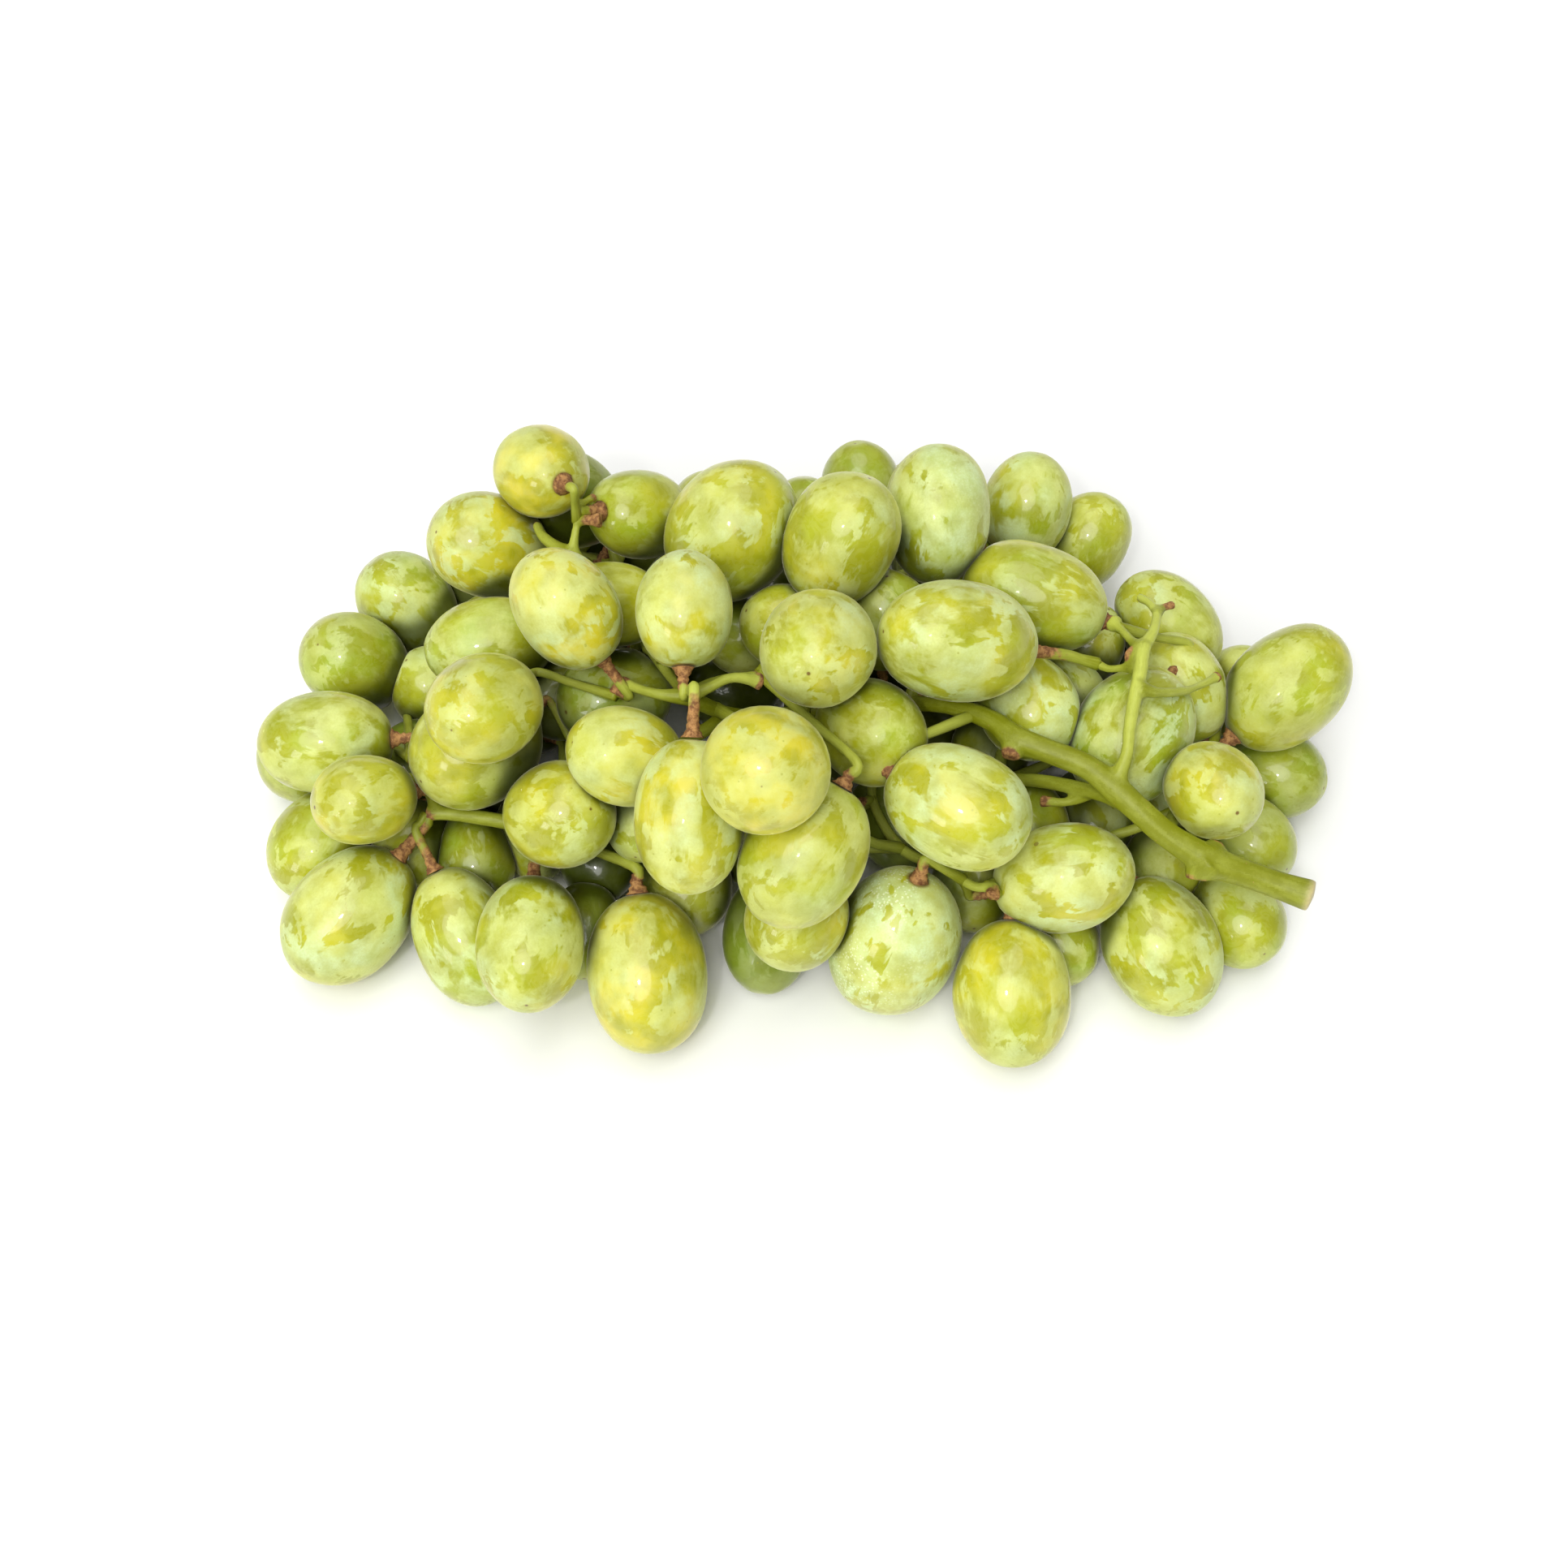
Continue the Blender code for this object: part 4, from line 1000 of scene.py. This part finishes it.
def keep_piece(mesh: bpy.types.Mesh, material: bpy.types.Material, node: str) -> bpy.types.Object:
    """Makes an object of a finished mesh and places it on the bunch.

    Args:
        mesh: the mesh, already in place.
        material: its finish.
        node: the solid that it stands for, which it hides.

    Returns:
        The object.
    """
    mesh.polygons.foreach_set("use_smooth", [True] * len(mesh.polygons))
    mesh.materials.append(material)
    piece = bpy.data.objects.new(mesh.name, mesh)
    bpy.context.scene.collection.objects.link(piece)
    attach(piece, "root")
    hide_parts(node)
    LOG.info("%s: %d faces", piece.name, len(mesh.polygons))
    return piece


@dataclass
class BerryShape:
    """The fine shape of one berry, worked out on the points of a ball."""

    heap: Heap
    index: int
    draw: random.Random

    around: int = 44
    along: int = 26
    soft: float = 0.22 * MM             # roundness of the edge of a pressed place
    seat: float = 0.55 * MM             # depth of the dent at the stem end
    seat_reach: float = 2.9 * MM
    navel: float = 0.22 * MM            # depth of the dent at the tip
    navel_reach: float = 1.1 * MM
    lumps: float = 0.022                # unevenness, as a share of the size
    lump_scale: float = 1.3
    branch_gap: float = 0.1 * MM
    steepest: float = 30.0              # past which the soft edge is a straight one

    def planes(self) -> list[tuple[np.ndarray, float]]:
        """Finds where neighbours and branches press the berry flat.

        Returns:
            For each, the unit vector to it and how far off it stops the skin.
        """
        heap, own_place = self.heap, self.heap.centre[self.index]
        found = []
        for other in range(len(heap.names)):
            if other == self.index:
                continue
            way = heap.centre[other] - own_place
            apart = np.linalg.norm(way)
            way = way / apart
            own = reach(heap.axis[self.index], heap.wide[self.index], heap.long[self.index], way)
            its = reach(heap.axis[other], heap.wide[other], heap.long[other], way)
            if own + its > apart:
                found.append((way, float(apart * own / (own + its))))
        foot = heap.rods.feet(own_place)
        way = foot - own_place
        apart = np.linalg.norm(way, axis=1)
        for rod in np.flatnonzero(apart < 0.6 * heap.long[self.index] + heap.rods.radius):
            limit = float(apart[rod] - heap.rods.radius[rod]) - self.branch_gap
            found.append((way[rod] / apart[rod], limit))
        return found

    def points(self, ball: np.ndarray) -> tuple[np.ndarray, np.ndarray]:
        """Places the berry's points.

        Args:
            ball: points of a unit ball, its poles on Z, the lower one the stem end.

        Returns:
            The points in the bunch, and the same points in the berry's own frame.
        """
        heap = self.heap
        half_wide, half_long = 0.5 * heap.wide[self.index], 0.5 * heap.long[self.index]
        egg = self.draw.uniform(-0.02, 0.07)
        oval = self.draw.uniform(0.975, 1.025)
        blunt = self.draw.uniform(0.0, 0.035)
        height = ball[:, 2]
        swell = 1 + egg * height + blunt * (1 - height ** 2) * height ** 2 * 4
        own = np.stack([ball[:, 0] * half_wide * swell * oval, ball[:, 1] * half_wide * swell / oval,
                        height * half_long], axis=1)
        shift = Vector([self.draw.uniform(-9, 9) for _ in range(3)])
        lump = np.array([noise.noise(Vector(point) * self.lump_scale + shift) for point in ball])
        own *= (1 + self.lumps * lump)[:, None]
        rim = np.hypot(own[:, 0], own[:, 1])
        own[:, 2] += self.seat * (np.exp(-(rim / self.seat_reach) ** 2) * (height < 0))
        own[:, 2] -= self.navel * (np.exp(-(rim / self.navel_reach) ** 2) * (height > 0))
        turn = np.array(Vector(heap.axis[self.index]).to_track_quat("Z", "Y").to_matrix())
        spread = own @ turn.T
        for way, limit in self.planes():
            over = (spread @ way - limit) / self.soft
            push = self.soft * np.log1p(np.exp(np.clip(over, -self.steepest, self.steepest)))
            push = np.where(over > self.steepest, over * self.soft, push)
            spread = spread - push[:, None] * way
        placed = heap.centre[self.index] + spread
        placed[:, 2] = np.maximum(placed[:, 2], 0.0)
        return placed, own


@dataclass
class Spray:
    """The berries of one spray as one piece."""

    name: str
    heap: Heap
    members: np.ndarray
    middle: np.ndarray

    ripe_range: tuple[float, float] = (0.12, 0.42)
    bloom_range: tuple[float, float] = (0.3, 0.6)
    # Share of ripeness and bloom that berries out of sight keep: painted shade, darker and greener inside
    # the bunch
    hidden_painted_shade: float = 0.8
    # The next four set the painted shade between berries
    near: float = 60.0 * MM             # how far off a berry still shuts another in
    open_below: float = 1.15
    shut_above: float = 2.00
    behind: float = 0.25                # how far berries behind a point count too

    def look(self, berry: str, draw: random.Random) -> tuple[float, float]:
        """Chooses a berry's look, its own where it stands out.

        Args:
            berry: its name.
            draw: the seeded source of the look of the others.

        Returns:
            Its ripeness and its bloom, each from 0 to 1.
        """
        ripe, bloom = draw.uniform(*self.ripe_range), draw.uniform(*self.bloom_range)
        # Berries out of sight come out darker and greener: painted shade inside the bunch
        if berry.startswith("h"):
            ripe, bloom = self.hidden_painted_shade * ripe, self.hidden_painted_shade * bloom
        return LOOKS.get(berry, (ripe, bloom))

    def berry(self, index: int) -> bmesh.types.BMesh:
        """Models one berry with the values that its skin reads.

        Args:
            index: the berry's number in the heap.

        Returns:
            The berry in the bunch's place.
        """
        draw = random.Random(SEED * 1000 + index)
        ball = bmesh.new()
        layers = ball.verts.layers
        skin = layers.float_vector.new("skin")
        values = {name: layers.float.new(name) for name in SKIN_VALUES}
        shape = BerryShape(self.heap, index, draw)
        bmesh.ops.create_uvsphere(ball, u_segments=shape.around, v_segments=shape.along, radius=1.0)
        points, own = shape.points(np.array([vert.co[:] for vert in ball.verts]))
        shift = np.array([draw.uniform(-0.5, 0.5) for _ in range(3)])
        half_long = 0.5 * self.heap.long[index]
        tips = np.linalg.norm(own - [0, 0, half_long], axis=1) / MM
        stems = np.linalg.norm(own + [0, 0, half_long - shape.seat], axis=1) / MM
        ripe, bloom = self.look(self.heap.names[index], draw)
        # Painted shade between berries, which darkens the skin where others shut it in
        nooks = self.nooks(index, points)
        rows = zip(ball.verts, points - self.middle, own + shift, tips, stems, nooks)
        for vert, point, inner, tip, stem, nook in rows:
            vert.co = point
            vert[skin] = inner
            for name, value in zip(SKIN_VALUES, (tip, stem, ripe, bloom, nook)):
                vert[values[name]] = value
        return ball

    def nooks(self, index: int, points: np.ndarray) -> np.ndarray:
        """Works out the painted shade on each point of a berry, from how shut in it is by the others.

        Args:
            index: the berry's number in the heap.
            points: the berry's points in the bunch.

        Returns:
            For each point, from 0 in the open to 1 deep between berries.
        """
        heap = self.heap
        outward = points - heap.centre[index]
        outward = outward / np.linalg.norm(outward, axis=1)[:, None]
        shut = np.zeros(len(points))
        for other in range(len(heap.names)):
            if other == index or np.linalg.norm(heap.centre[other] - heap.centre[index]) > self.near:
                continue
            way = heap.centre[other] - points
            apart = np.linalg.norm(way, axis=1)
            facing = np.sum(outward * way, axis=1) / apart
            radius = 0.25 * (heap.wide[other] + heap.long[other])
            shut += np.minimum(1.0, (radius / apart) ** 2) * np.clip(facing + self.behind, 0.0, 1.0)
        return np.clip((shut - self.open_below) / (self.shut_above - self.open_below), 0.0, 1.0)

    def build(self, material: bpy.types.Material) -> bpy.types.Object:
        """Models every berry of the spray and dresses the piece.

        Args:
            material: the skin.

        Returns:
            The piece.
        """
        shells = [self.berry(int(index)) for index in self.members]
        mesh = gathered(self.name + "_berries", shells)
        return keep_piece(mesh, material, self.name)


@dataclass(frozen=True)
class Stretch:
    """One branch or pedicel: its middle line, radii and colours along it."""

    points: np.ndarray
    radii: np.ndarray
    brown: np.ndarray
    pale: np.ndarray
    cut: float = 0.0
    warts: float = 0.0


def smooth_path(points: np.ndarray, values: np.ndarray, step: float) -> tuple[np.ndarray, np.ndarray]:
    """Draws a smooth curve through points, carrying values along.

    Args:
        points: the points, in metres.
        values: one row of numbers for each point.
        step: spacing of the result, in metres.

    Returns:
        The curve's points, and the values at each.
    """
    ends = np.vstack([2 * points[0] - points[1], points, 2 * points[-1] - points[-2]])
    curve, carried = [points[0]], [values[0]]
    for k in range(len(points) - 1):
        before, one, two, after = ends[k], ends[k + 1], ends[k + 2], ends[k + 3]
        count = max(2, int(math.ceil(np.linalg.norm(two - one) / step)))
        for t in np.linspace(0, 1, count + 1)[1:]:
            bend = (2 * one + (two - before) * t + (2 * before - 5 * one + 4 * two - after) * t ** 2
                    + (3 * one - before - 3 * two + after) * t ** 3)
            curve.append(0.5 * bend)
            carried.append(values[k] + (values[k + 1] - values[k]) * t)
    return np.array(curve), np.array(carried)


def path_run(curve: np.ndarray) -> np.ndarray:
    """Gives how far along a curve each of its points lies, in metres."""
    return np.concatenate([[0], np.cumsum(np.linalg.norm(np.diff(curve, axis=0), axis=1))])


@dataclass
class Stalk:
    """The stalk: branches with knuckles, pedicels and the berries' caps."""

    heap: Heap
    middle: np.ndarray

    sides: int = 18
    step: float = 0.9 * MM              # between the rings of a branch
    pale: float = 0.6                   # how pale a branch is without a reading of its own
    end_swell: float = 1.4              # mm over which an end swells
    butt_swell: float = 0.10            # how much wider the cut end is, and over how many mm
    butt_reach: float = 4.0
    fork: float = 0.45                  # how much wider a twig starts, and over how many mm
    fork_reach: float = 3.2
    turning: float = 9.0                # mm over which a twig takes its own colour
    main_warts: float = 0.05
    twig_warts: float = 0.09
    fuse: float = 0.45 * MM             # grain of the fused branches
    fuse_rounds: int = 5                # of smoothing
    cut_edge: float = 0.7 * MM

    pedicel_sides: int = 12
    pedicel_step: float = 0.62 * MM
    pedicel_radius: float = 1.0 * MM
    pedicel_warts: float = 0.14
    cap_radius: float = 2.2 * MM
    cap_height: float = 1.7 * MM
    cap_flare: float = 1.35 * MM        # length over which the cap flares
    ring_rise: float = 0.13             # of the rings below the cap, and how far down they go
    ring_reach: float = 4.5 * MM
    tries: int = 14
    longest: float = 26.0 * MM
    squeeze: float = 0.6 * MM           # how deep a pedicel may press into berries
    backward: float = -0.5              # how far it may turn back on itself
    shy: float = 0.8                    # how far it goes out of its way to stay out of sight

    def branches(self) -> list[Stretch]:
        """Draws the branches and the bare twigs read from the picture.

        Returns:
            One stretch for each.
        """
        found = []
        for name, path in {**BRANCHES, **BUTTONS}.items():
            points = np.array([Sight.spot(column, row, height * MM) for column, row, height, _ in path])
            radii = np.array([[0.5 * thick * MM] for *_, thick in path])
            curve, carried = smooth_path(points, radii, self.step)
            run = path_run(curve) / MM
            left = run[-1] - run
            end = ENDS.get(name, PLAIN_END)
            brown = end.brown * np.clip(1.25 * (1 - left / end.reach), 0, 1)
            thick = carried[:, 0] * (1 + end.swell * np.exp(-(left / self.end_swell) ** 2))
            own = PALE.get(name, self.pale)
            if name == "main":
                pale = np.full(len(run), own)
                thick = thick * (1 + self.butt_swell * np.exp(-(run / self.butt_reach) ** 2))
                found.append(Stretch(curve, thick, brown, pale, cut=1.0, warts=self.main_warts))
            else:
                pale = own + (PALE["main"] - own) * np.exp(-run / self.turning)
                thick = thick * (1 + self.fork * np.exp(-(run / self.fork_reach) ** 2))
                found.append(Stretch(curve, thick, brown, pale, warts=self.twig_warts))
        return found

    def depth_in_berries(self, path: list[np.ndarray], skip: int) -> float:
        """Measures how deep a path runs into berries, its own left out.

        Args:
            path: the path's points, in metres.
            skip: number of its own berry.

        Returns:
            The greatest depth, in metres.
        """
        heap, worst = self.heap, 0.0
        for one, two in zip(path, path[1:]):
            for share in np.linspace(0, 1, 9):
                way = one + share * (two - one) - heap.centre
                apart = np.linalg.norm(way, axis=1)
                deep = reach(heap.axis, heap.wide, heap.long, way / apart[:, None])
                deep = deep + self.pedicel_radius - apart
                deep[skip] = 0
                worst = max(worst, float(deep.max()))
        return worst

    def pedicel_path(self, index: int) -> list[np.ndarray]:
        """Finds a berry's pedicel: a clear way from the stalk to its stem end.

        Args:
            index: the berry's number in the heap.

        Returns:
            The points of the shortest way that is clear and mostly out of sight, or
            where there is none, of the way that runs least deep into berries.
        """
        heap, rods = self.heap, self.heap.rods
        bearing = np.array([name not in BARE for name in rods.owner])
        start, end = rods.start[bearing], rods.end[bearing]
        feet = np.concatenate([start + share * (end - start) for share in (0.0, 0.33, 0.67, 1.0)])
        axis = heap.axis[index]
        tip = heap.centre[index] - axis * (0.5 * heap.long[index] + heap.node_gap)
        order = np.argsort(np.linalg.norm(feet - tip, axis=1))[:self.tries]
        best, best_length, spare, spare_depth = None, math.inf, None, math.inf
        for foot in feet[order]:
            for stretch in (3.0 * MM, 7.0 * MM):
                path = [foot, tip - axis * (self.cap_height + stretch), tip - axis * self.cap_height]
                length = float(np.linalg.norm(path[1] - path[0]))
                turn = np.dot(path[1] - path[0], axis) / (length + MM)
                deep = self.depth_in_berries(path, index)
                if deep < spare_depth and (turn > self.backward or spare is None):
                    spare, spare_depth = path + [tip], deep
                if deep > self.squeeze or turn < self.backward or length > self.longest:
                    continue
                middle = 0.5 * (path[0] + path[1])
                length *= 1 + self.shy * (1 - heap.covered(middle, 2.0 * self.pedicel_radius))
                if length < best_length:
                    best, best_length = path + [tip], length
        return best if best is not None else spare

    def pedicels(self) -> list[Stretch]:
        """Draws every berry's pedicel with its flared cap.

        Returns:
            One stretch for each berry.
        """
        found = []
        for index in range(len(self.heap.names)):
            draw = random.Random(SEED * 2000 + index)
            path = self.pedicel_path(index)
            axis = self.heap.axis[index]
            seat = path[3] + axis * (self.heap.node_gap + 0.75 * BerryShape.seat)
            points = np.array([path[0], 0.45 * path[0] + 0.55 * path[1], path[1], path[2], seat])
            thick = self.pedicel_radius * draw.uniform(0.85, 1.12)
            radii = np.array([1.30, 1.0, 1.06, 1.20, 1.3]) * thick
            age = draw.uniform(0.15, 1.0)
            brown = np.array([0.0, 0.10, 0.38, 0.85, 1.0]) * np.array([1, age, age, 1, 1])
            curve, carried = smooth_path(points, np.stack([radii, brown], axis=1), self.pedicel_step)
            run = path_run(curve)
            left = run[-1] - run
            rim = self.cap_radius * draw.uniform(0.80, 1.04)
            flare = np.clip(1 - left / self.cap_flare, 0, 1) ** 0.5
            rings = self.ring_rise * np.cos(left / self.pedicel_step * math.pi) * (left < self.ring_reach)
            thick = carried[:, 0] * (1 + rings) + (rim - carried[:, 0]) * flare
            curve[:, 2] = np.maximum(curve[:, 2], 1.12 * thick)
            own = draw.uniform(0.35, 0.9)
            pale = own + (PALE["main"] - own) * np.exp(-run / (0.6 * self.turning * MM))
            found.append(Stretch(curve, thick, carried[:, 1], pale, warts=self.pedicel_warts))
        return found

    def sweep(self, stretch: Stretch, sides: int, turn: float) -> bmesh.types.BMesh:
        """Extrudes a ring along a stretch and closes both ends.

        Args:
            stretch: the middle line, radii and colours.
            sides: points of the ring.
            turn: a number that sets its bumps apart from those of the others.

        Returns:
            The closed shell with the values that its finish reads.
        """
        shell = bmesh.new()
        brown, cut = shell.verts.layers.float.new("brown"), shell.verts.layers.float.new("cut")
        pale = shell.verts.layers.float.new("pale")
        grain = shell.verts.layers.float_vector.new("grain")
        points = [Vector(point) for point in stretch.points - self.middle]
        along = (points[1] - points[0]).normalized()
        side_way = along.orthogonal().normalized()
        ring = bmesh.ops.create_circle(shell, cap_ends=False, segments=sides, radius=1.0)["verts"]
        unit = [vert.co.copy() for vert in ring]
        shift = Vector((turn, 2.3 * turn, 0.0))
        first, run = ring, 0.0
        for place, point in enumerate(points):
            before = (point - points[place - 1]).normalized() if place else along
            after = (points[place + 1] - point).normalized() if place + 1 < len(points) else before
            facing = (before + after).normalized()
            side_way = (side_way - side_way.dot(facing) * facing).normalized()
            other_way = facing.cross(side_way)
            run += (point - points[place - 1]).length if place else 0.0
            if place:
                ring = self.grow(shell, ring)
            wart = stretch.warts * (0.35 + stretch.brown[place])
            for vert, corner in zip(ring, unit):
                rough = noise.noise(Vector((corner.x * 1.6, corner.y * 1.6, run / (1.6 * MM))) + shift)
                ridge = noise.noise(Vector((corner.x * 2.6, corner.y * 2.6, run / (14 * MM))) + shift)
                radius = float(stretch.radii[place] * (1 + wart * rough + 0.07 * ridge))
                vert.co = point + radius * (corner.x * side_way + corner.y * other_way)
                vert[brown] = float(stretch.brown[place])
                vert[cut] = stretch.cut * math.exp(-(run / self.cut_edge) ** 2)
                vert[pale] = float(stretch.pale[place])
                vert[grain] = Vector((corner.x * 3.2, corner.y * 3.2, run / (5 * MM))) + shift
        start = points[0] - 0.15 * float(stretch.radii[0]) * along
        for ends, middle, shade in ((first, start, stretch.cut), (ring, points[-1], 0.0)):
            fresh = self.grow(shell, ends)
            for vert in fresh:
                vert[cut] = shade
            bmesh.ops.pointmerge(shell, verts=fresh, merge_co=middle)
        bmesh.ops.recalc_face_normals(shell, faces=shell.faces[:])
        return shell

    @staticmethod
    def grow(shell: bmesh.types.BMesh, ring: list[bmesh.types.BMVert]) -> list[bmesh.types.BMVert]:
        """Extrudes an open ring once.

        Args:
            shell: the shell that it is of.
            ring: its points.

        Returns:
            The new ring, in the same order.
        """
        own = set(ring)
        edges = list({edge for vert in ring for edge in vert.link_edges
                      if (edge.is_boundary or edge.is_wire) and own.issuperset(edge.verts)})
        grown = bmesh.ops.extrude_edge_only(shell, edges=edges)["geom"]
        fresh = {vert for vert in grown if isinstance(vert, bmesh.types.BMVert)}
        return [next(edge.other_vert(vert) for edge in vert.link_edges if edge.other_vert(vert) in fresh)
                for vert in ring]

    def fused(self, shells: list[bmesh.types.BMesh]) -> bmesh.types.BMesh:
        """Grows the branches into one skin, with rounded forks.

        Args:
            shells: the branches, freed as they are taken in.

        Returns:
            The skin, with the values of the nearest places on the branches.
        """
        rough = gathered("branches", shells)
        holder = bpy.data.objects.new("branches", rough)
        bpy.context.scene.collection.objects.link(holder)
        grow = holder.modifiers.new("fuse", "REMESH")
        grow.mode, grow.voxel_size = "VOXEL", self.fuse
        ready = holder.evaluated_get(bpy.context.evaluated_depsgraph_get())
        skin = bmesh.new()
        skin.from_mesh(ready.to_mesh())
        ready.to_mesh_clear()
        for _ in range(self.fuse_rounds):
            bmesh.ops.smooth_vert(skin, verts=skin.verts[:], factor=0.5,
                                  use_axis_x=True, use_axis_y=True, use_axis_z=True)
        tree = kdtree.KDTree(len(rough.vertices))
        for vert in rough.vertices:
            tree.insert(vert.co, vert.index)
        tree.balance()
        values = {name: rough.attributes[name].data for name in ("brown", "cut", "pale")}
        layers = {name: skin.verts.layers.float.new(name) for name in values}
        grains, grain = rough.attributes["grain"].data, skin.verts.layers.float_vector.new("grain")
        for vert in skin.verts:
            near = tree.find_n(vert.co, 5)
            shares = [1.0 / (away + 0.1 * MM) for *_, away in near]
            for name, layer in layers.items():
                vert[layer] = sum(share * values[name][index].value
                                  for share, (_, index, _) in zip(shares, near)) / sum(shares)
            vert[grain] = grains[near[0][1]].vector
        bpy.data.objects.remove(holder)
        bpy.data.meshes.remove(rough)
        return skin

    def build(self, material: bpy.types.Material) -> bpy.types.Object:
        """Models the whole stalk and dresses it.

        Args:
            material: its skin.

        Returns:
            The piece.
        """
        branches = [self.sweep(stretch, self.sides, 1.7 * k) for k, stretch in enumerate(self.branches())]
        shells = [self.fused(branches)]
        shells += [self.sweep(stretch, self.pedicel_sides, 0.9 * k)
                   for k, stretch in enumerate(self.pedicels())]
        return keep_piece(gathered("stalk_fine", shells), material, "stalk")


class Lamp(Enum):
    """The two kinds of light."""

    NEAR = "AREA"
    FAR = "SUN"


@dataclass
class Studio:
    """Pale floor, soft lights and the camera."""

    middle: np.ndarray

    surround: float = 0.27              # light from all around
    floor_reach: float = 4.0
    floor_tint: Colour = (0.86, 0.86, 0.85, 1.0)
    floor_rough: float = 0.55
    aim: tuple[float, float, float] = (0.0, 0.0, 0.03)
    sensor: float = 36.0

    def floor(self) -> None:
        """Lays a plain pale floor."""
        shell = bmesh.new()
        bmesh.ops.create_grid(shell, x_segments=1, y_segments=1, size=self.floor_reach)
        mesh = bpy.data.meshes.new("floor")
        shell.to_mesh(mesh)
        shell.free()
        ground = bpy.data.objects.new("floor", mesh)
        bpy.context.scene.collection.objects.link(ground)
        paint = bpy.data.materials.new("floor_paint")
        paint.use_nodes = True
        shader = paint.node_tree.nodes["Principled BSDF"]
        shader.inputs["Base Color"].default_value = self.floor_tint
        shader.inputs["Roughness"].default_value = self.floor_rough
        mesh.materials.append(paint)

    def light(self, name: str, kind: Lamp, place: tuple[float, float, float], spread: float,
              power: float) -> None:
        """Hangs a soft light that faces the bunch.

        Args:
            name: the light's name.
            kind: near square lamp or far disc.
            place: where it hangs, in metres.
            spread: side of the near lamp in metres, or the angle that the far one fills.
            power: watts of the near lamp, or watts per square metre of the far one.
        """
        lamp = bpy.data.lights.new(name, kind.value)
        if kind is Lamp.FAR:
            lamp.angle = spread
        else:
            lamp.size = spread
        lamp.energy = power
        holder = bpy.data.objects.new(name, lamp)
        bpy.context.scene.collection.objects.link(holder)
        way = Vector(self.aim) - Vector(place)
        turn = way.to_track_quat("-Z", "Y").to_matrix().to_4x4()
        holder.matrix_world = Matrix.Translation(place) @ turn

    def sky(self) -> None:
        """Sets an even pale surrounding, white where the camera sees it."""
        world = bpy.context.scene.world or bpy.data.worlds.new("surround")
        bpy.context.scene.world = world
        world.use_nodes = True
        sheet = Sheet(world.node_tree)
        back = world.node_tree.nodes["Background"]
        back.inputs["Color"].default_value = (1.0, 1.0, 1.0, 1.0)
        seen = sheet.add("ShaderNodeLightPath").outputs["Is Camera Ray"]
        sheet.wire(sheet.ramp(seen, 0.0, 1.0, self.surround, 1.0), back.inputs["Strength"])
        bpy.context.scene.view_settings.view_transform = "Standard"

    def camera(self) -> None:
        """Sets the camera where the photograph was taken from."""
        eye = bpy.data.cameras.new("camera")
        eye.sensor_width = self.sensor
        eye.lens = eye.sensor_width * Sight.FOCAL / Sight.FRAME
        holder = bpy.data.objects.new("camera", eye)
        bpy.context.scene.collection.objects.link(holder)
        turn = Matrix((Sight.ACROSS, Sight.ALOFT, -Sight.LOOK)).transposed().to_4x4()
        holder.matrix_world = Matrix.Translation(Vector(Sight.EYE - self.middle)) @ turn
        bpy.context.scene.camera = holder

    def build(self) -> None:
        """Builds the whole studio."""
        self.floor()
        self.sky()
        self.light("key", Lamp.FAR, (-0.45, -1.15, 2.00), 0.80, 2.15)
        self.light("top", Lamp.FAR, (-0.1, 0.5, 2.2), 0.80, 1.12)
        self.light("low_left", Lamp.NEAR, (-1.30, -1.50, 0.70), 0.5, 6.0)
        self.light("glint", Lamp.NEAR, (-0.20, -0.62, 0.92), 0.07, 1.8)
        self.camera()


def main() -> None:
    """Builds every part of the bunch in order."""
    logging.basicConfig(level=logging.INFO)
    heap = Heap(Rods.of_branches())
    heap.add_seen()
    heap.settle(heap.seen_rounds)
    LOG.info("berries in sight: %d", len(heap.names))
    heap.add_hidden(random.Random(SEED))
    heap.settle(heap.all_rounds)
    LOG.info("berries in all: %d", len(heap.names))
    spray = heap.share_out()
    specks = specks_group()
    skin = SkinFinish().material(specks)
    for number, name in enumerate(SPRAYS):
        Spray(name, heap, np.flatnonzero(spray == number), BUNCH_MIDDLE).build(skin)
    Stalk(heap, BUNCH_MIDDLE).build(StalkFinish().material(specks))
    Studio(BUNCH_MIDDLE).build()


if __name__ == "__main__":
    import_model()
    main()
